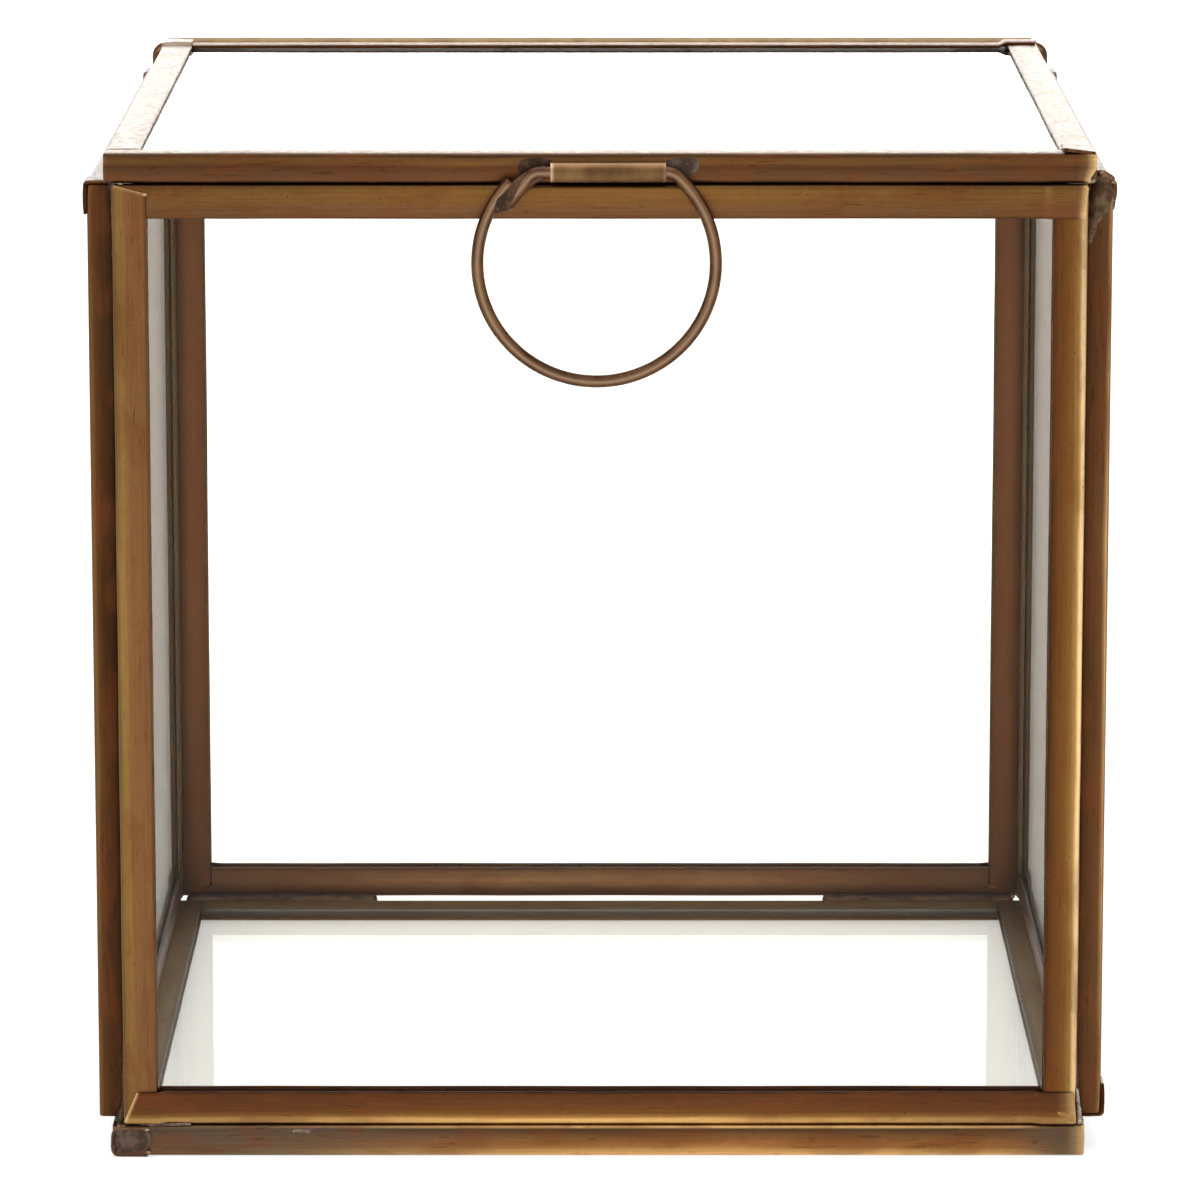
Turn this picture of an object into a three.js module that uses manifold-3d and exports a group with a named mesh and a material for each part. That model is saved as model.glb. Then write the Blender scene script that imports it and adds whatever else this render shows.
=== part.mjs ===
// A glass show box, about 120 mm each way. Six clear panes are each edged with four folded brass
// channels, and the four walls are soldered corner to corner on a base. The lid swings on a rod that
// runs through a tube along its back edge, and a wire ring in a rolled sleeve lifts it.
// Millimetres, +Z up, the front of the box faces -Y.

import * as THREE from "three";
import { mergeVertices } from "three/addons/utils/BufferGeometryUtils.js";
import Module from "manifold-3d";

// Brass channel and glass
const sheet = 0.38;
const channelLeg = 4.0;
const foldRadius = 0.75;
const glassThickness = 2.34;
const glassPlay = 0.1;
const glassEdgeGap = 0.5;
const glassSeam = 0.25;

// Walls, base and lid
const wallWidth = 113.8;
const wallHeight = 113.1;
const cornerLap = 0.15;
const cornerGap = 0.1;
const baseOverhang = 1.0;
const baseGap = 0.24;
const lidOverhang = 0.95;
const lidGap = 0.3;

// Lapped corners, where one channel's outer leg lies on the leg of the next
const lapFilm = 0.04;
const lapClearance = 0.4;
const lapJoggle = 1.2;
const lapRound = 0.4;
const lapDraw = 0.3;
const buttGap = 0.15;
const tuckIn = 0.9;
const cornerFlap = 3.7;
const flapMargin = 0.12;

// Pull ring and its sleeve
const ringWire = 1.46;
const ringRadius = 13.9;
const ringPlay = 4.4;
const ringSlide = -1.36;
const ringBend = 0.9;
const ringLap = 2.6;
const sleeveLength = 13.4;
const sleeveShift = 0.96;
const sleeveRise = 1.29;
const sleeveWall = 0.3;
const sleeveBoreGap = 0.12;
const solderFilm = 0.05;
const padLength = 3.4;
const padThickness = 0.24;

// Hinge tube and rod
const hingeRod = 1.4;
const hingeBoreGap = 0.17;
const hingeWall = 0.38;
const hingeBelowLidTop = 0.8;
const hingeTubeInset = 0.65;
const rodLegSide = 0.95;
const rodLegDrop = 14;
const rodBend = 1.5;

// Solder in the open corners
const tackReach = 2.3;
const tackHeight = 9;
const tackEndGap = 0.35;
const rodTackReach = 3.0;
const rodTackGap = 0.15;
const beadLength = 3.6;
const beadWidth = 1.7;
const beadHeight = 1.3;

// Facets
const foldFacets = 3;
const wireFacets = 10;
const tubeFacets = 14;
const bendSteps = 5;
const arcSteps = 36;

// Worked out from the sizes above
const panelThickness = glassThickness + 2 * glassPlay + 2 * sheet;
const panelHalf = panelThickness / 2;
const lapRise = sheet + lapFilm;
const lapStep = channelLeg + lapClearance;
const boxWidth = wallWidth + 2 * panelThickness - 2 * cornerLap;
const boxDepth = wallWidth + 2 * panelThickness + 2 * cornerGap;
const frontFace = -boxDepth / 2;
const baseSide = wallWidth + 2 * baseOverhang;
const lidSide = wallWidth + 2 * lidOverhang;
const baseBottom = lapRise;
const wallBottom = baseBottom + panelThickness + baseGap;
const wallTop = wallBottom + wallHeight;
const lidBottom = wallTop + lidGap;
const lidTop = lidBottom + panelThickness;
const lidBack = frontFace + lidSide;

// Colours and finishes
const agedBrass = { color: 0x8a6238, roughness: 0.42, metalness: 0.9 };
const shadedBrass = { color: 0x6b4727, roughness: 0.46, metalness: 0.9 };
const wireBrass = { color: 0x8f6a44, roughness: 0.36, metalness: 0.9 };
const tarnishedSolder = { color: 0x6d6357, roughness: 0.55, metalness: 0.8 };
const clearGlass = {
  color: 0xf1f5f2,
  roughness: 0.04,
  metalness: 0,
  transparent: true,
  opacity: 0.22,
};

const wasm = await Module();
wasm.setup();

// Leaves one vertex at each place and drops the triangles that collapse with it.
function closed(geometry) {
  const source = geometry.clone();
  source.deleteAttribute("normal");
  source.deleteAttribute("uv");
  const merged = mergeVertices(source);
  const corners = merged.index.array;
  const kept = [];
  for (let i = 0; i < corners.length; i += 3) {
    const [a, b, c] = [corners[i], corners[i + 1], corners[i + 2]];
    if (a !== b && b !== c && c !== a) {
      kept.push(a, b, c);
    }
  }
  merged.setIndex(kept);
  merged.computeVertexNormals();
  return merged;
}

// Moves every vertex of a geometry to the place that a function of the vertex gives.
function moved(geometry, place) {
  const position = geometry.getAttribute("position");
  const vertex = new THREE.Vector3();
  for (let i = 0; i < position.count; i += 1) {
    vertex.fromBufferAttribute(position, i);
    const target = place(vertex);
    position.setXYZ(i, target.x, target.y, target.z);
  }
  return closed(geometry);
}

function solidOf(geometry) {
  const merged = closed(geometry);
  const mesh = new wasm.Mesh({
    numProp: 3,
    vertProperties: merged.getAttribute("position").array,
    triVerts: new Uint32Array(merged.index.array),
  });
  return new wasm.Manifold(mesh);
}

function geometryOf(solid) {
  const mesh = solid.getMesh();
  const count = mesh.numProp;
  const places = new Float32Array(mesh.numVert * 3);
  for (let i = 0; i < mesh.numVert; i += 1) {
    places.set(mesh.vertProperties.subarray(i * count, i * count + 3), i * 3);
  }
  const geometry = new THREE.BufferGeometry();
  geometry.setAttribute("position", new THREE.BufferAttribute(places, 3));
  geometry.setIndex(new THREE.BufferAttribute(mesh.triVerts, 1));
  geometry.computeVertexNormals();
  return geometry;
}

const joined = (first, second) => geometryOf(solidOf(first).add(solidOf(second)));
const cut = (body, tool) => geometryOf(solidOf(body).subtract(solidOf(tool)));

function piece(name, geometry, finish) {
  const mesh = new THREE.Mesh(geometry, new THREE.MeshStandardMaterial(finish));
  mesh.name = name;
  return mesh;
}

// A wire's path that steps only at its given stations, so a straight run costs no steps.
class StationPath extends THREE.Curve {
  constructor(stations) {
    super();
    this.stations = stations;
  }

  getPoint(t, target = new THREE.Vector3()) {
    const last = this.stations.length - 1;
    const place = t * last;
    const before = Math.min(Math.floor(place), last - 1);
    return target.lerpVectors(this.stations[before], this.stations[before + 1], place - before);
  }

  getPointAt(u, target) {
    return this.getPoint(u, target);
  }

  getTangentAt(u, target = new THREE.Vector3()) {
    const last = this.stations.length - 1;
    const here = Math.round(u * last);
    const next = this.stations[Math.min(here + 1, last)];
    const previous = this.stations[Math.max(here - 1, 0)];
    return target.copy(next).sub(previous).normalize();
  }
}

function wireAlong(stations, diameter) {
  const section = new THREE.Shape();
  section.absarc(0, 0, diameter / 2, 0, 2 * Math.PI, false);
  return closed(
    new THREE.ExtrudeGeometry(section, {
      steps: stations.length - 1,
      curveSegments: wireFacets,
      extrudePath: new StationPath(stations),
    }),
  );
}

// Points along a bend that leaves one straight run and joins the next at their corner.
function bendPoints(from, corner, to, radius) {
  const start = corner.clone().add(from.clone().sub(corner).setLength(radius));
  const finish = corner.clone().add(to.clone().sub(corner).setLength(radius));
  return new THREE.QuadraticBezierCurve3(start, corner, finish).getPoints(bendSteps);
}

// Channels. Along its length a channel is straight but for its ends: a covered end stops short and is
// hidden by its neighbour, and a lapping end lifts its outer leg by one sheet over the neighbour's leg.

// The U section: x is the distance in from the panel's edge, y the distance out from its middle.
function channelSection() {
  const inner = foldRadius - sheet;
  const foldAt = panelHalf - foldRadius;
  const section = new THREE.Shape();
  section.moveTo(channelLeg, -panelHalf);
  section.lineTo(channelLeg, sheet - panelHalf);
  section.absarc(foldRadius, -foldAt, inner, 1.5 * Math.PI, Math.PI, true);
  section.absarc(foldRadius, foldAt, inner, Math.PI, 0.5 * Math.PI, true);
  section.lineTo(channelLeg, panelHalf - sheet);
  section.lineTo(channelLeg, panelHalf);
  section.absarc(foldRadius, foldAt, foldRadius, 0.5 * Math.PI, Math.PI, false);
  section.absarc(foldRadius, -foldAt, foldRadius, Math.PI, 1.5 * Math.PI, false);
  section.closePath();
  return section;
}

// The rings of a channel's end, counted from the edge of the panel.
function endRings(end) {
  if (!end.laps) {
    return [{ offset: tuckIn, slant: 0, rise: 0, draw: 0, butt: 0 }];
  }
  return [
    { offset: 0, slant: end.slant, rise: lapRise, draw: lapDraw, butt: 1 },
    { offset: lapRound, slant: end.slant, rise: lapRise, draw: 0, butt: 1 },
    { offset: lapStep, slant: 0, rise: lapRise, draw: 0, butt: 1 },
    { offset: lapStep + lapJoggle, slant: 0, rise: 0, draw: 0, butt: 0 },
  ];
}

// How far from the panel's edge a point of a ring lies: the outer leg is cut at a slant, and the
// inner leg stops at the neighbour's inner leg.
function ringOffset(ring, inward, outward) {
  if (outward > 0) {
    return ring.offset + ring.slant * inward;
  }
  const share = (foldRadius - panelHalf - outward) / (foldRadius - sheet);
  const onLeg = THREE.MathUtils.clamp(share, 0, 1);
  const cutBack = (channelLeg + buttGap) * (1 - ring.offset / lapStep);
  return ring.offset + ring.butt * onLeg * cutBack;
}

// A channel that runs along +X from the corner of its panel, its legs towards +Y and outwards +Z.
function channelGeometry(length, start, end) {
  const near = endRings(start).map((ring) => ({ ...ring, far: false }));
  const far = endRings(end).map((ring) => ({ ...ring, far: true }));
  const rings = near.concat(far.reverse());
  const steps = rings.length - 1;
  const body = new THREE.ExtrudeGeometry(channelSection(), {
    depth: steps,
    steps,
    bevelEnabled: false,
    curveSegments: foldFacets,
  });
  const channel = moved(body, (vertex) => {
    const ring = rings[Math.round(vertex.z)];
    const offset = ringOffset(ring, vertex.x, vertex.y);
    const inward = vertex.x + ring.draw * (1 - vertex.x / channelLeg);
    const outward = vertex.y > 0 ? vertex.y + ring.rise : vertex.y;
    return new THREE.Vector3(ring.far ? length - offset : offset, inward, outward);
  });
  return start.flap ? joined(channel, flapGeometry()) : channel;
}

// The tab of a lapping channel's web that folds round the corner onto the neighbour's web.
function flapGeometry() {
  const width = panelThickness - 2 * flapMargin;
  const outline = new THREE.Shape();
  outline.moveTo(foldRadius, 0);
  outline.lineTo(sheet - lapRise, 0);
  outline.absarc(sheet - lapRise, sheet, sheet, 1.5 * Math.PI, Math.PI, true);
  outline.lineTo(-lapRise, cornerFlap);
  outline.lineTo(-lapFilm, cornerFlap);
  outline.lineTo(-lapFilm, sheet);
  outline.lineTo(foldRadius, sheet);
  outline.closePath();
  const flap = new THREE.ExtrudeGeometry(outline, {
    depth: width,
    bevelEnabled: false,
    curveSegments: foldFacets,
  });
  return flap.translate(0, 0, -width / 2);
}

function paneGeometry(width, height) {
  const inset = 2 * (sheet + glassEdgeGap + glassSeam);
  const outline = new THREE.Shape();
  const halfWidth = (width - inset) / 2;
  const halfHeight = (height - inset) / 2;
  outline.moveTo(-halfWidth, -halfHeight);
  outline.lineTo(halfWidth, -halfHeight);
  outline.lineTo(halfWidth, halfHeight);
  outline.lineTo(-halfWidth, halfHeight);
  outline.closePath();
  const depth = glassThickness - 2 * glassSeam;
  const pane = new THREE.ExtrudeGeometry(outline, {
    depth,
    bevelThickness: glassSeam,
    bevelSize: glassSeam,
    bevelSegments: 1,
  });
  return closed(pane.translate(0, 0, -depth / 2));
}

// How the channels of a panel lap at its corners, counter-clockwise from bottom right, seen from
// outside. "ending" means that the channel which ends there lies on top, "starting" the next one.
// The slant is the cut of the lapping leg's end as a share of its reach.
const frontLaps = [
  { over: "ending", slantShare: 0.08 },
  { over: "starting", slantShare: 0.1 },
  { over: "starting", slantShare: 0.25 },
  { over: "starting", slantShare: 0.4 },
];
const backLaps = [
  { over: "ending", slantShare: 0.12 },
  { over: "starting", slantShare: 0.2 },
  { over: "ending", slantShare: 0.1 },
  { over: "starting", slantShare: 0.25 },
];
const leftLaps = [
  { over: "starting", slantShare: 0.15 },
  { over: "starting", slantShare: 0.1 },
  { over: "ending", slantShare: 0.2 },
  { over: "starting", slantShare: 0.12 },
];
const rightLaps = [
  { over: "ending", slantShare: 0.15 },
  { over: "starting", slantShare: 0.12 },
  { over: "ending", slantShare: 0.2 },
  { over: "starting", slantShare: 0.1 },
];
const lidLaps = [
  { over: "ending", slantShare: 0.12 },
  { over: "starting", slantShare: 0.1 },
  { over: "starting", slantShare: 0.2 },
  { over: "starting", slantShare: 0.1 },
];
const baseLaps = [
  { over: "ending", slantShare: 0.1 },
  { over: "starting", slantShare: 0.12 },
  { over: "starting", slantShare: 0.1, flap: true },
  { over: "starting", slantShare: 0.15 },
];

// A panel in its own frame: +X right and +Y up seen from outside, +Z outwards. The channels run
// counter-clockwise: bottom, right, top, left.
function panel(name, width, height, channelNames, laps, finish) {
  const group = new THREE.Group();
  group.add(piece(`${name}_glass`, paneGeometry(width, height), clearGlass));
  const corners = [
    [-width / 2, -height / 2],
    [width / 2, -height / 2],
    [width / 2, height / 2],
    [-width / 2, height / 2],
  ];
  corners.forEach(([x, y], side) => {
    const length = side % 2 ? height : width;
    const before = laps[(side + laps.length - 1) % laps.length];
    const after = laps[side];
    const start = {
      laps: before.over === "starting",
      slant: before.slantShare,
      flap: before.flap,
    };
    const end = { laps: after.over === "ending", slant: after.slantShare };
    const channel = piece(channelNames[side], channelGeometry(length, start, end), finish);
    channel.position.set(x, y, 0);
    channel.rotation.z = (side * Math.PI) / 2;
    group.add(channel);
  });
  return group;
}

// Stands a panel up with its outward side turned by an angle from -Y about +Z.
function stood(group, turn, x, y) {
  group.rotation.set(Math.PI / 2, 0, turn, "ZYX");
  group.position.set(x, y, wallBottom + wallHeight / 2);
  return group;
}

function walls() {
  const group = new THREE.Group();
  const alongY = boxDepth / 2 - panelHalf;
  const alongX = boxWidth / 2 - panelHalf;
  const named = (side, ends) => ends.map((end) => `${side}_${end}`);
  const frontNames = named("front", ["bottom_rail", "right_stile", "top_rail", "left_stile"]);
  const backNames = named("back", ["bottom_rail", "left_stile", "top_rail", "right_stile"]);
  const leftNames = named("left", ["bottom_rail", "front_stile", "top_rail", "back_stile"]);
  const rightNames = named("right", ["bottom_rail", "back_stile", "top_rail", "front_stile"]);
  const wall = (name, names, laps, finish) =>
    panel(name, wallWidth, wallHeight, names, laps, finish);
  group.add(stood(wall("front", frontNames, frontLaps, agedBrass), 0, 0, -alongY));
  group.add(stood(wall("back", backNames, backLaps, shadedBrass), Math.PI, 0, alongY));
  group.add(stood(wall("left", leftNames, leftLaps, shadedBrass), -Math.PI / 2, -alongX, 0));
  group.add(stood(wall("right", rightNames, rightLaps, shadedBrass), Math.PI / 2, alongX, 0));
  return group;
}

// The base lies under the walls, its front edge in line with the front wall's face.
function base() {
  const names = ["base_back_channel", "base_right_channel", "base_front_channel", "base_left_channel"];
  const group = panel("base", baseSide, baseSide, names, baseLaps, shadedBrass);
  group.rotation.x = Math.PI;
  group.position.set(0, frontFace + baseSide / 2, baseBottom + panelHalf);
  return group;
}

// A tube rolled from a strip, its open seam towards +Y or -Y, lying along X.
function rolledTube(length, bore, wall, seamTowards) {
  const inside = bore / 2;
  const outside = inside + wall;
  const seam = Math.asin(wall / outside);
  const seamAt = (seamTowards * Math.PI) / 2;
  const section = new THREE.Shape();
  section.absarc(0, 0, outside, seamAt + seam, seamAt - seam + 2 * Math.PI, false);
  section.absarc(0, 0, inside, seamAt - seam + 2 * Math.PI, seamAt + seam, true);
  section.closePath();
  const tube = new THREE.ExtrudeGeometry(section, {
    depth: length,
    bevelEnabled: false,
    curveSegments: tubeFacets,
  });
  return closed(tube.translate(0, 0, -length / 2).rotateY(Math.PI / 2));
}

const lapShares = [0.5, 1];
const beadFlatShare = 0.5;

// The pull. Its ring is one wire bent to a circle with a straight chord, which turns in the sleeve;
// the wire's ends lie side by side below the chord's left end and are fused by a bead of solder.
function ringGeometry() {
  const lapAngle = ringLap / ringRadius;
  const chordHalf = (sleeveLength + ringPlay) / 2;
  const ringDrop = Math.sqrt(ringRadius ** 2 - chordHalf ** 2);
  const chordAngle = Math.atan2(ringDrop, chordHalf);
  const onRing = (angle, radius) =>
    new THREE.Vector3(radius * Math.cos(angle), 0, radius * Math.sin(angle) - ringDrop);
  const leaveAngle = chordAngle - ringBend / ringRadius;
  const firstAngle = Math.PI - chordAngle + ringWire / ringRadius;
  const sweep = 2 * Math.PI + leaveAngle - firstAngle;
  const stations = [];
  for (let i = 0; i <= arcSteps; i += 1) {
    stations.push(onRing(firstAngle + (sweep * i) / arcSteps, ringRadius));
  }
  const rightCorner = new THREE.Vector3(chordHalf, 0, 0);
  const leftCorner = new THREE.Vector3(ringWire - chordHalf, 0, 0);
  const lapRadius = ringRadius - ringWire;
  const lapStart = onRing(firstAngle, lapRadius);
  const right = bendPoints(stations.at(-1), rightCorner, leftCorner, ringBend);
  stations.push(...right.slice(1));
  stations.push(...bendPoints(rightCorner, leftCorner, lapStart, ringBend));
  for (const share of lapShares) {
    stations.push(onRing(firstAngle + share * lapAngle, lapRadius));
  }
  const bead = new THREE.SphereGeometry(ringWire, wireFacets, bendSteps);
  const beadPlace = onRing(firstAngle + lapAngle / 2, ringRadius - ringWire / 2);
  bead.scale(1, beadFlatShare, 1);
  bead.translate(beadPlace.x, beadPlace.y, beadPlace.z);
  return joined(wireAlong(stations, ringWire), bead);
}

// A flat pad of solder that runs out from the sleeve's end on the lid's edge, to the right or left.
function padGeometry(way) {
  const height = panelThickness - foldRadius;
  const reach = way * padLength;
  const outline = new THREE.Shape();
  outline.moveTo(0, 0);
  outline.lineTo(0, -padThickness);
  outline.quadraticCurveTo(reach / 2, -padThickness, reach, 0);
  outline.closePath();
  const pad = new THREE.ExtrudeGeometry(outline, {
    depth: height,
    bevelEnabled: false,
    curveSegments: bendSteps,
  });
  return closed(pad.translate(0, 0, -height / 2));
}

const sleeveBore = ringWire + 2 * sleeveBoreGap;
const sleeveOutside = sleeveBore / 2 + sleeveWall;
const hingeBore = hingeRod + 2 * hingeBoreGap;
const hingeOutside = hingeBore / 2 + hingeWall;
const hingeAxis = new THREE.Vector3(0, lidBack + hingeOutside + solderFilm, lidTop - hingeBelowLidTop);
const ringAxis = new THREE.Vector3(
  0,
  frontFace - sleeveOutside - solderFilm,
  lidBottom + sleeveRise,
);

function pull() {
  const group = new THREE.Group();
  const ring = new THREE.Group();
  ring.position.x = sleeveShift + ringSlide;
  ring.add(piece("pull_ring", ringGeometry(), wireBrass));
  const sleeve = rolledTube(sleeveLength, sleeveBore, sleeveWall, 1);
  const sleeveMesh = piece("pull_sleeve", sleeve, agedBrass);
  sleeveMesh.position.x = sleeveShift;
  group.add(ring, sleeveMesh);
  const padX = sleeveLength / 2 + solderFilm;
  const padY = sleeveOutside;
  const padZ = panelHalf - sleeveRise;
  for (const [name, way] of [["pull_solder_right", 1], ["pull_solder_left", -1]]) {
    const pad = piece(name, padGeometry(way), tarnishedSolder);
    pad.position.set(sleeveShift + way * padX, padY, padZ);
    group.add(pad);
  }
  group.position.copy(ringAxis);
  return group;
}

// The lid with all that rides on it, in a group that stands on the hinge axis.
function lid() {
  const names = ["lid_front_channel", "lid_right_channel", "lid_back_channel", "lid_left_channel"];
  const cover = panel("lid", lidSide, lidSide, names, lidLaps, agedBrass);
  cover.position.set(0, frontFace + lidSide / 2, lidBottom + panelHalf);
  const tubeLength = lidSide - 2 * hingeTubeInset;
  const tube = piece("hinge_tube", rolledTube(tubeLength, hingeBore, hingeWall, -1), shadedBrass);
  tube.position.copy(hingeAxis);
  const onHinge = new THREE.Group();
  onHinge.position.copy(hingeAxis);
  for (const part of [cover, tube, pull()]) {
    part.position.sub(hingeAxis);
    onHinge.add(part);
  }
  return onHinge;
}

// The hinge rod: through the tube, then down into the open back corners behind the side walls.
const rodLegX = lidSide / 2 + rodLegSide;
const rodLegY = boxDepth / 2 - panelThickness + hingeRod / 2 + solderFilm;
const rodFootZ = hingeAxis.z - rodLegDrop;

function rodGeometry() {
  const half = (way) => {
    const middle = new THREE.Vector3(0, hingeAxis.y, hingeAxis.z);
    const corner = new THREE.Vector3(way * rodLegX, hingeAxis.y, hingeAxis.z);
    const knee = new THREE.Vector3(way * rodLegX, rodLegY, hingeAxis.z - 2 * rodBend);
    const foot = new THREE.Vector3(way * rodLegX, rodLegY, rodFootZ);
    return [
      ...bendPoints(middle, corner, knee, rodBend),
      ...bendPoints(corner, knee, foot, rodBend / 2),
      foot,
    ];
  };
  return wireAlong([...half(-1).reverse(), ...half(1)], hingeRod);
}

// A tack of solder in the open corner between two walls. In plan it fills the corner at the origin,
// reaching along +X and +Y, and it thins out towards both ends.
const tackEndShares = [0.35, 0.85, 1, 0.85, 0.35];
const tackHollowShare = 0.3;
const rodTackEndShares = [0.97, 1, 1, 0.97];
const rodTackFullShare = 0.95;

function tackGeometry(reach, height, hollowShare, endShares) {
  const outline = new THREE.Shape();
  outline.moveTo(0, 0);
  outline.lineTo(reach, 0);
  outline.quadraticCurveTo(hollowShare * reach, hollowShare * reach, 0, reach);
  outline.closePath();
  const steps = endShares.length - 1;
  const tack = new THREE.ExtrudeGeometry(outline, {
    depth: steps,
    steps,
    bevelEnabled: false,
    curveSegments: bendSteps,
  });
  return moved(tack, (vertex) => {
    const ring = Math.round(vertex.z);
    const share = endShares[ring];
    return new THREE.Vector3(vertex.x * share, vertex.y * share, (height * ring) / steps);
  });
}

// The four open corners, counter-clockwise from back right, as their signs in X and Y.
const openCorners = [
  { name: "back_right", x: 1, y: 1 },
  { name: "back_left", x: -1, y: 1 },
  { name: "front_left", x: -1, y: -1 },
  { name: "front_right", x: 1, y: -1 },
];

function cornerTacks() {
  const group = new THREE.Group();
  const cornerX = wallWidth / 2 + solderFilm;
  const cornerY = boxDepth / 2 - panelThickness + solderFilm;
  const topZ = wallTop - tackEndGap - tackHeight;
  const lowZ = baseBottom + panelThickness + tackEndGap;
  openCorners.forEach((corner, quarter) => {
    const place = (mesh, z) => {
      mesh.position.set(corner.x * cornerX, corner.y * cornerY, z);
      mesh.rotation.z = (quarter * Math.PI) / 2;
      group.add(mesh);
    };
    const low = tackGeometry(tackReach, tackHeight, tackHollowShare, tackEndShares);
    place(piece(`solder_${corner.name}_low`, low, tarnishedSolder), lowZ);
    let high = tackGeometry(tackReach, tackHeight, tackHollowShare, tackEndShares);
    if (corner.y > 0) {
      high = rodTack(corner, quarter, cornerX, cornerY);
    }
    place(piece(`solder_${corner.name}_high`, high, tarnishedSolder), topZ);
  });
  return group;
}

// The tack that holds one leg of the hinge rod: it fills the corner and is open where the leg is.
function rodTack(corner, quarter, cornerX, cornerY) {
  const body = tackGeometry(rodTackReach, tackHeight, rodTackFullShare, rodTackEndShares);
  const legDiameter = hingeRod + 2 * rodTackGap;
  const leg = new THREE.Vector3(corner.x * rodLegX, rodLegY, 0);
  leg.sub(new THREE.Vector3(corner.x * cornerX, corner.y * cornerY, 0));
  leg.applyAxisAngle(new THREE.Vector3(0, 0, 1), (-quarter * Math.PI) / 2);
  const below = new THREE.Vector3(leg.x, leg.y, -tackHeight);
  const above = new THREE.Vector3(leg.x, leg.y, 2 * tackHeight);
  return cut(body, wireAlong([below, above], legDiameter));
}

// A bead of solder on the front end of the right wall's top channel, beside the lid.
function topBead() {
  const bead = new THREE.SphereGeometry(beadWidth / 2, wireFacets, bendSteps * 2, 0, 2 * Math.PI);
  const geometry = moved(bead, (vertex) => {
    const lengthShare = beadLength / beadWidth;
    const heightShare = (2 * beadHeight) / beadWidth;
    return new THREE.Vector3(vertex.x, vertex.y * lengthShare, Math.max(vertex.z, 0) * heightShare);
  });
  const mesh = piece("solder_right_top_bead", geometry, tarnishedSolder);
  const beadX = boxWidth / 2 - beadWidth / 2 - solderFilm;
  const beadY = frontFace + panelThickness + cornerGap + beadLength / 2 + foldRadius;
  mesh.position.set(beadX, beadY, wallTop + solderFilm);
  return mesh;
}

// The whole box, with its origin under the middle of its outer size.
function glassBox() {
  const box = new THREE.Group();
  box.add(walls(), base(), lid(), cornerTacks(), topBead());
  box.add(piece("hinge_rod", rodGeometry(), wireBrass));
  box.updateMatrixWorld(true);
  const outer = new THREE.Box3().setFromObject(box, true);
  const middle = outer.getCenter(new THREE.Vector3());
  box.position.set(-middle.x, -middle.y, -outer.min.z);
  const root = new THREE.Group();
  root.add(box);
  return root;
}

export default glassBox();
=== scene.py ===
"""Looks of a small glass show box in folded brass channel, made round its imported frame.

Six clear panes sit in soldered frames of thin brass channel. The lid swings on a rod behind it, and a
wire ring in a rolled sleeve lifts it. Metres, +Z up, the front of the box faces -Y.
"""

import logging
import math
from dataclasses import dataclass, field
from enum import Enum

import bmesh
import bpy
from mathutils import Matrix, Vector


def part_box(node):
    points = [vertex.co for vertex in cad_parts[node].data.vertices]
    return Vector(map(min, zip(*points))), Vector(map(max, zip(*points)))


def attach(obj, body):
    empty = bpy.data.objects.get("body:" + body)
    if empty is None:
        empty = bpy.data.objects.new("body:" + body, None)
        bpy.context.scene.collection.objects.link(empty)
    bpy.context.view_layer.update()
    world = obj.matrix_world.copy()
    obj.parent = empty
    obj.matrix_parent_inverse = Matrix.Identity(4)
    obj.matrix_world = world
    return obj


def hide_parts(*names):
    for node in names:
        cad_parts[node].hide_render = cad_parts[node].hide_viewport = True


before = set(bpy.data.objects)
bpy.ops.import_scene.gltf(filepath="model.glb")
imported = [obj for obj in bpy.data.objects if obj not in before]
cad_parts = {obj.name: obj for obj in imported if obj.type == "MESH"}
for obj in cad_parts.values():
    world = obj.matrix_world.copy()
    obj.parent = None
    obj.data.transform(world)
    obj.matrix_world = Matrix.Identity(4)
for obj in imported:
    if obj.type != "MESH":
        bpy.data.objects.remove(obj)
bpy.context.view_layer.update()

LOG = logging.getLogger("glass_box")
MM = 0.001


# Node trees


# What a row of add_rows may ask for besides an operation of the Math node.
KINDS: dict[str, tuple[str, dict[str, object]]] = {
    "MAP": ("ShaderNodeMapRange", {}),
    "EASED": ("ShaderNodeMapRange", {"interpolation_type": "SMOOTHSTEP"}),
    "OFFSET": ("ShaderNodeCombineXYZ", {}),
    "REST": ("ShaderNodeMath", {"operation": "SUBTRACT", "use_clamp": True}),
    "SHARE": ("ShaderNodeMath", {"operation": "DIVIDE", "use_clamp": True}),
}
# The colour sockets of the Mix node: the two that it mixes, and the result.
MIX_UNDER = 6
MIX_OVER = 7
MIXED = 2


def linear(hex_code: str) -> tuple[float, ...]:
    """Turns an sRGB hex code of six digits into linear red, green, blue and an alpha of 1."""
    channels = [int(hex_code[i : i + 2], 16) / 255 for i in (0, 2, 4)]
    return (*[c / 12.92 if c <= 0.04045 else ((c + 0.055) / 1.055) ** 2.4 for c in channels], 1.0)


def plug(tree: bpy.types.NodeTree, socket: bpy.types.NodeSocket, value: object) -> None:
    """Puts a value into a socket, or links another socket, or a node's first output, to it.

    Args:
        tree: The tree that the socket is in.
        socket: The socket.
        value: The value, socket or node.
    """
    if isinstance(value, bpy.types.Node):
        value = value.outputs[0]
    if isinstance(value, bpy.types.NodeSocket):
        tree.links.new(value, socket)
    else:
        socket.default_value = value


def add_node(
    tree: bpy.types.NodeTree, kind: str, inputs: dict | None = None, **settings: object
) -> bpy.types.Node:
    """Adds one node with its settings and links.

    Args:
        tree: The tree that the node joins.
        kind: The node's type.
        inputs: What is plugged into its sockets, by name or number.
        settings: The node's own properties, set before its sockets.

    Returns:
        The new node.
    """
    node = tree.nodes.new(kind)
    for name, value in settings.items():
        setattr(node, name, value)
    for key, value in (inputs or {}).items():
        plug(tree, node.inputs[key], value)
    return node


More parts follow.
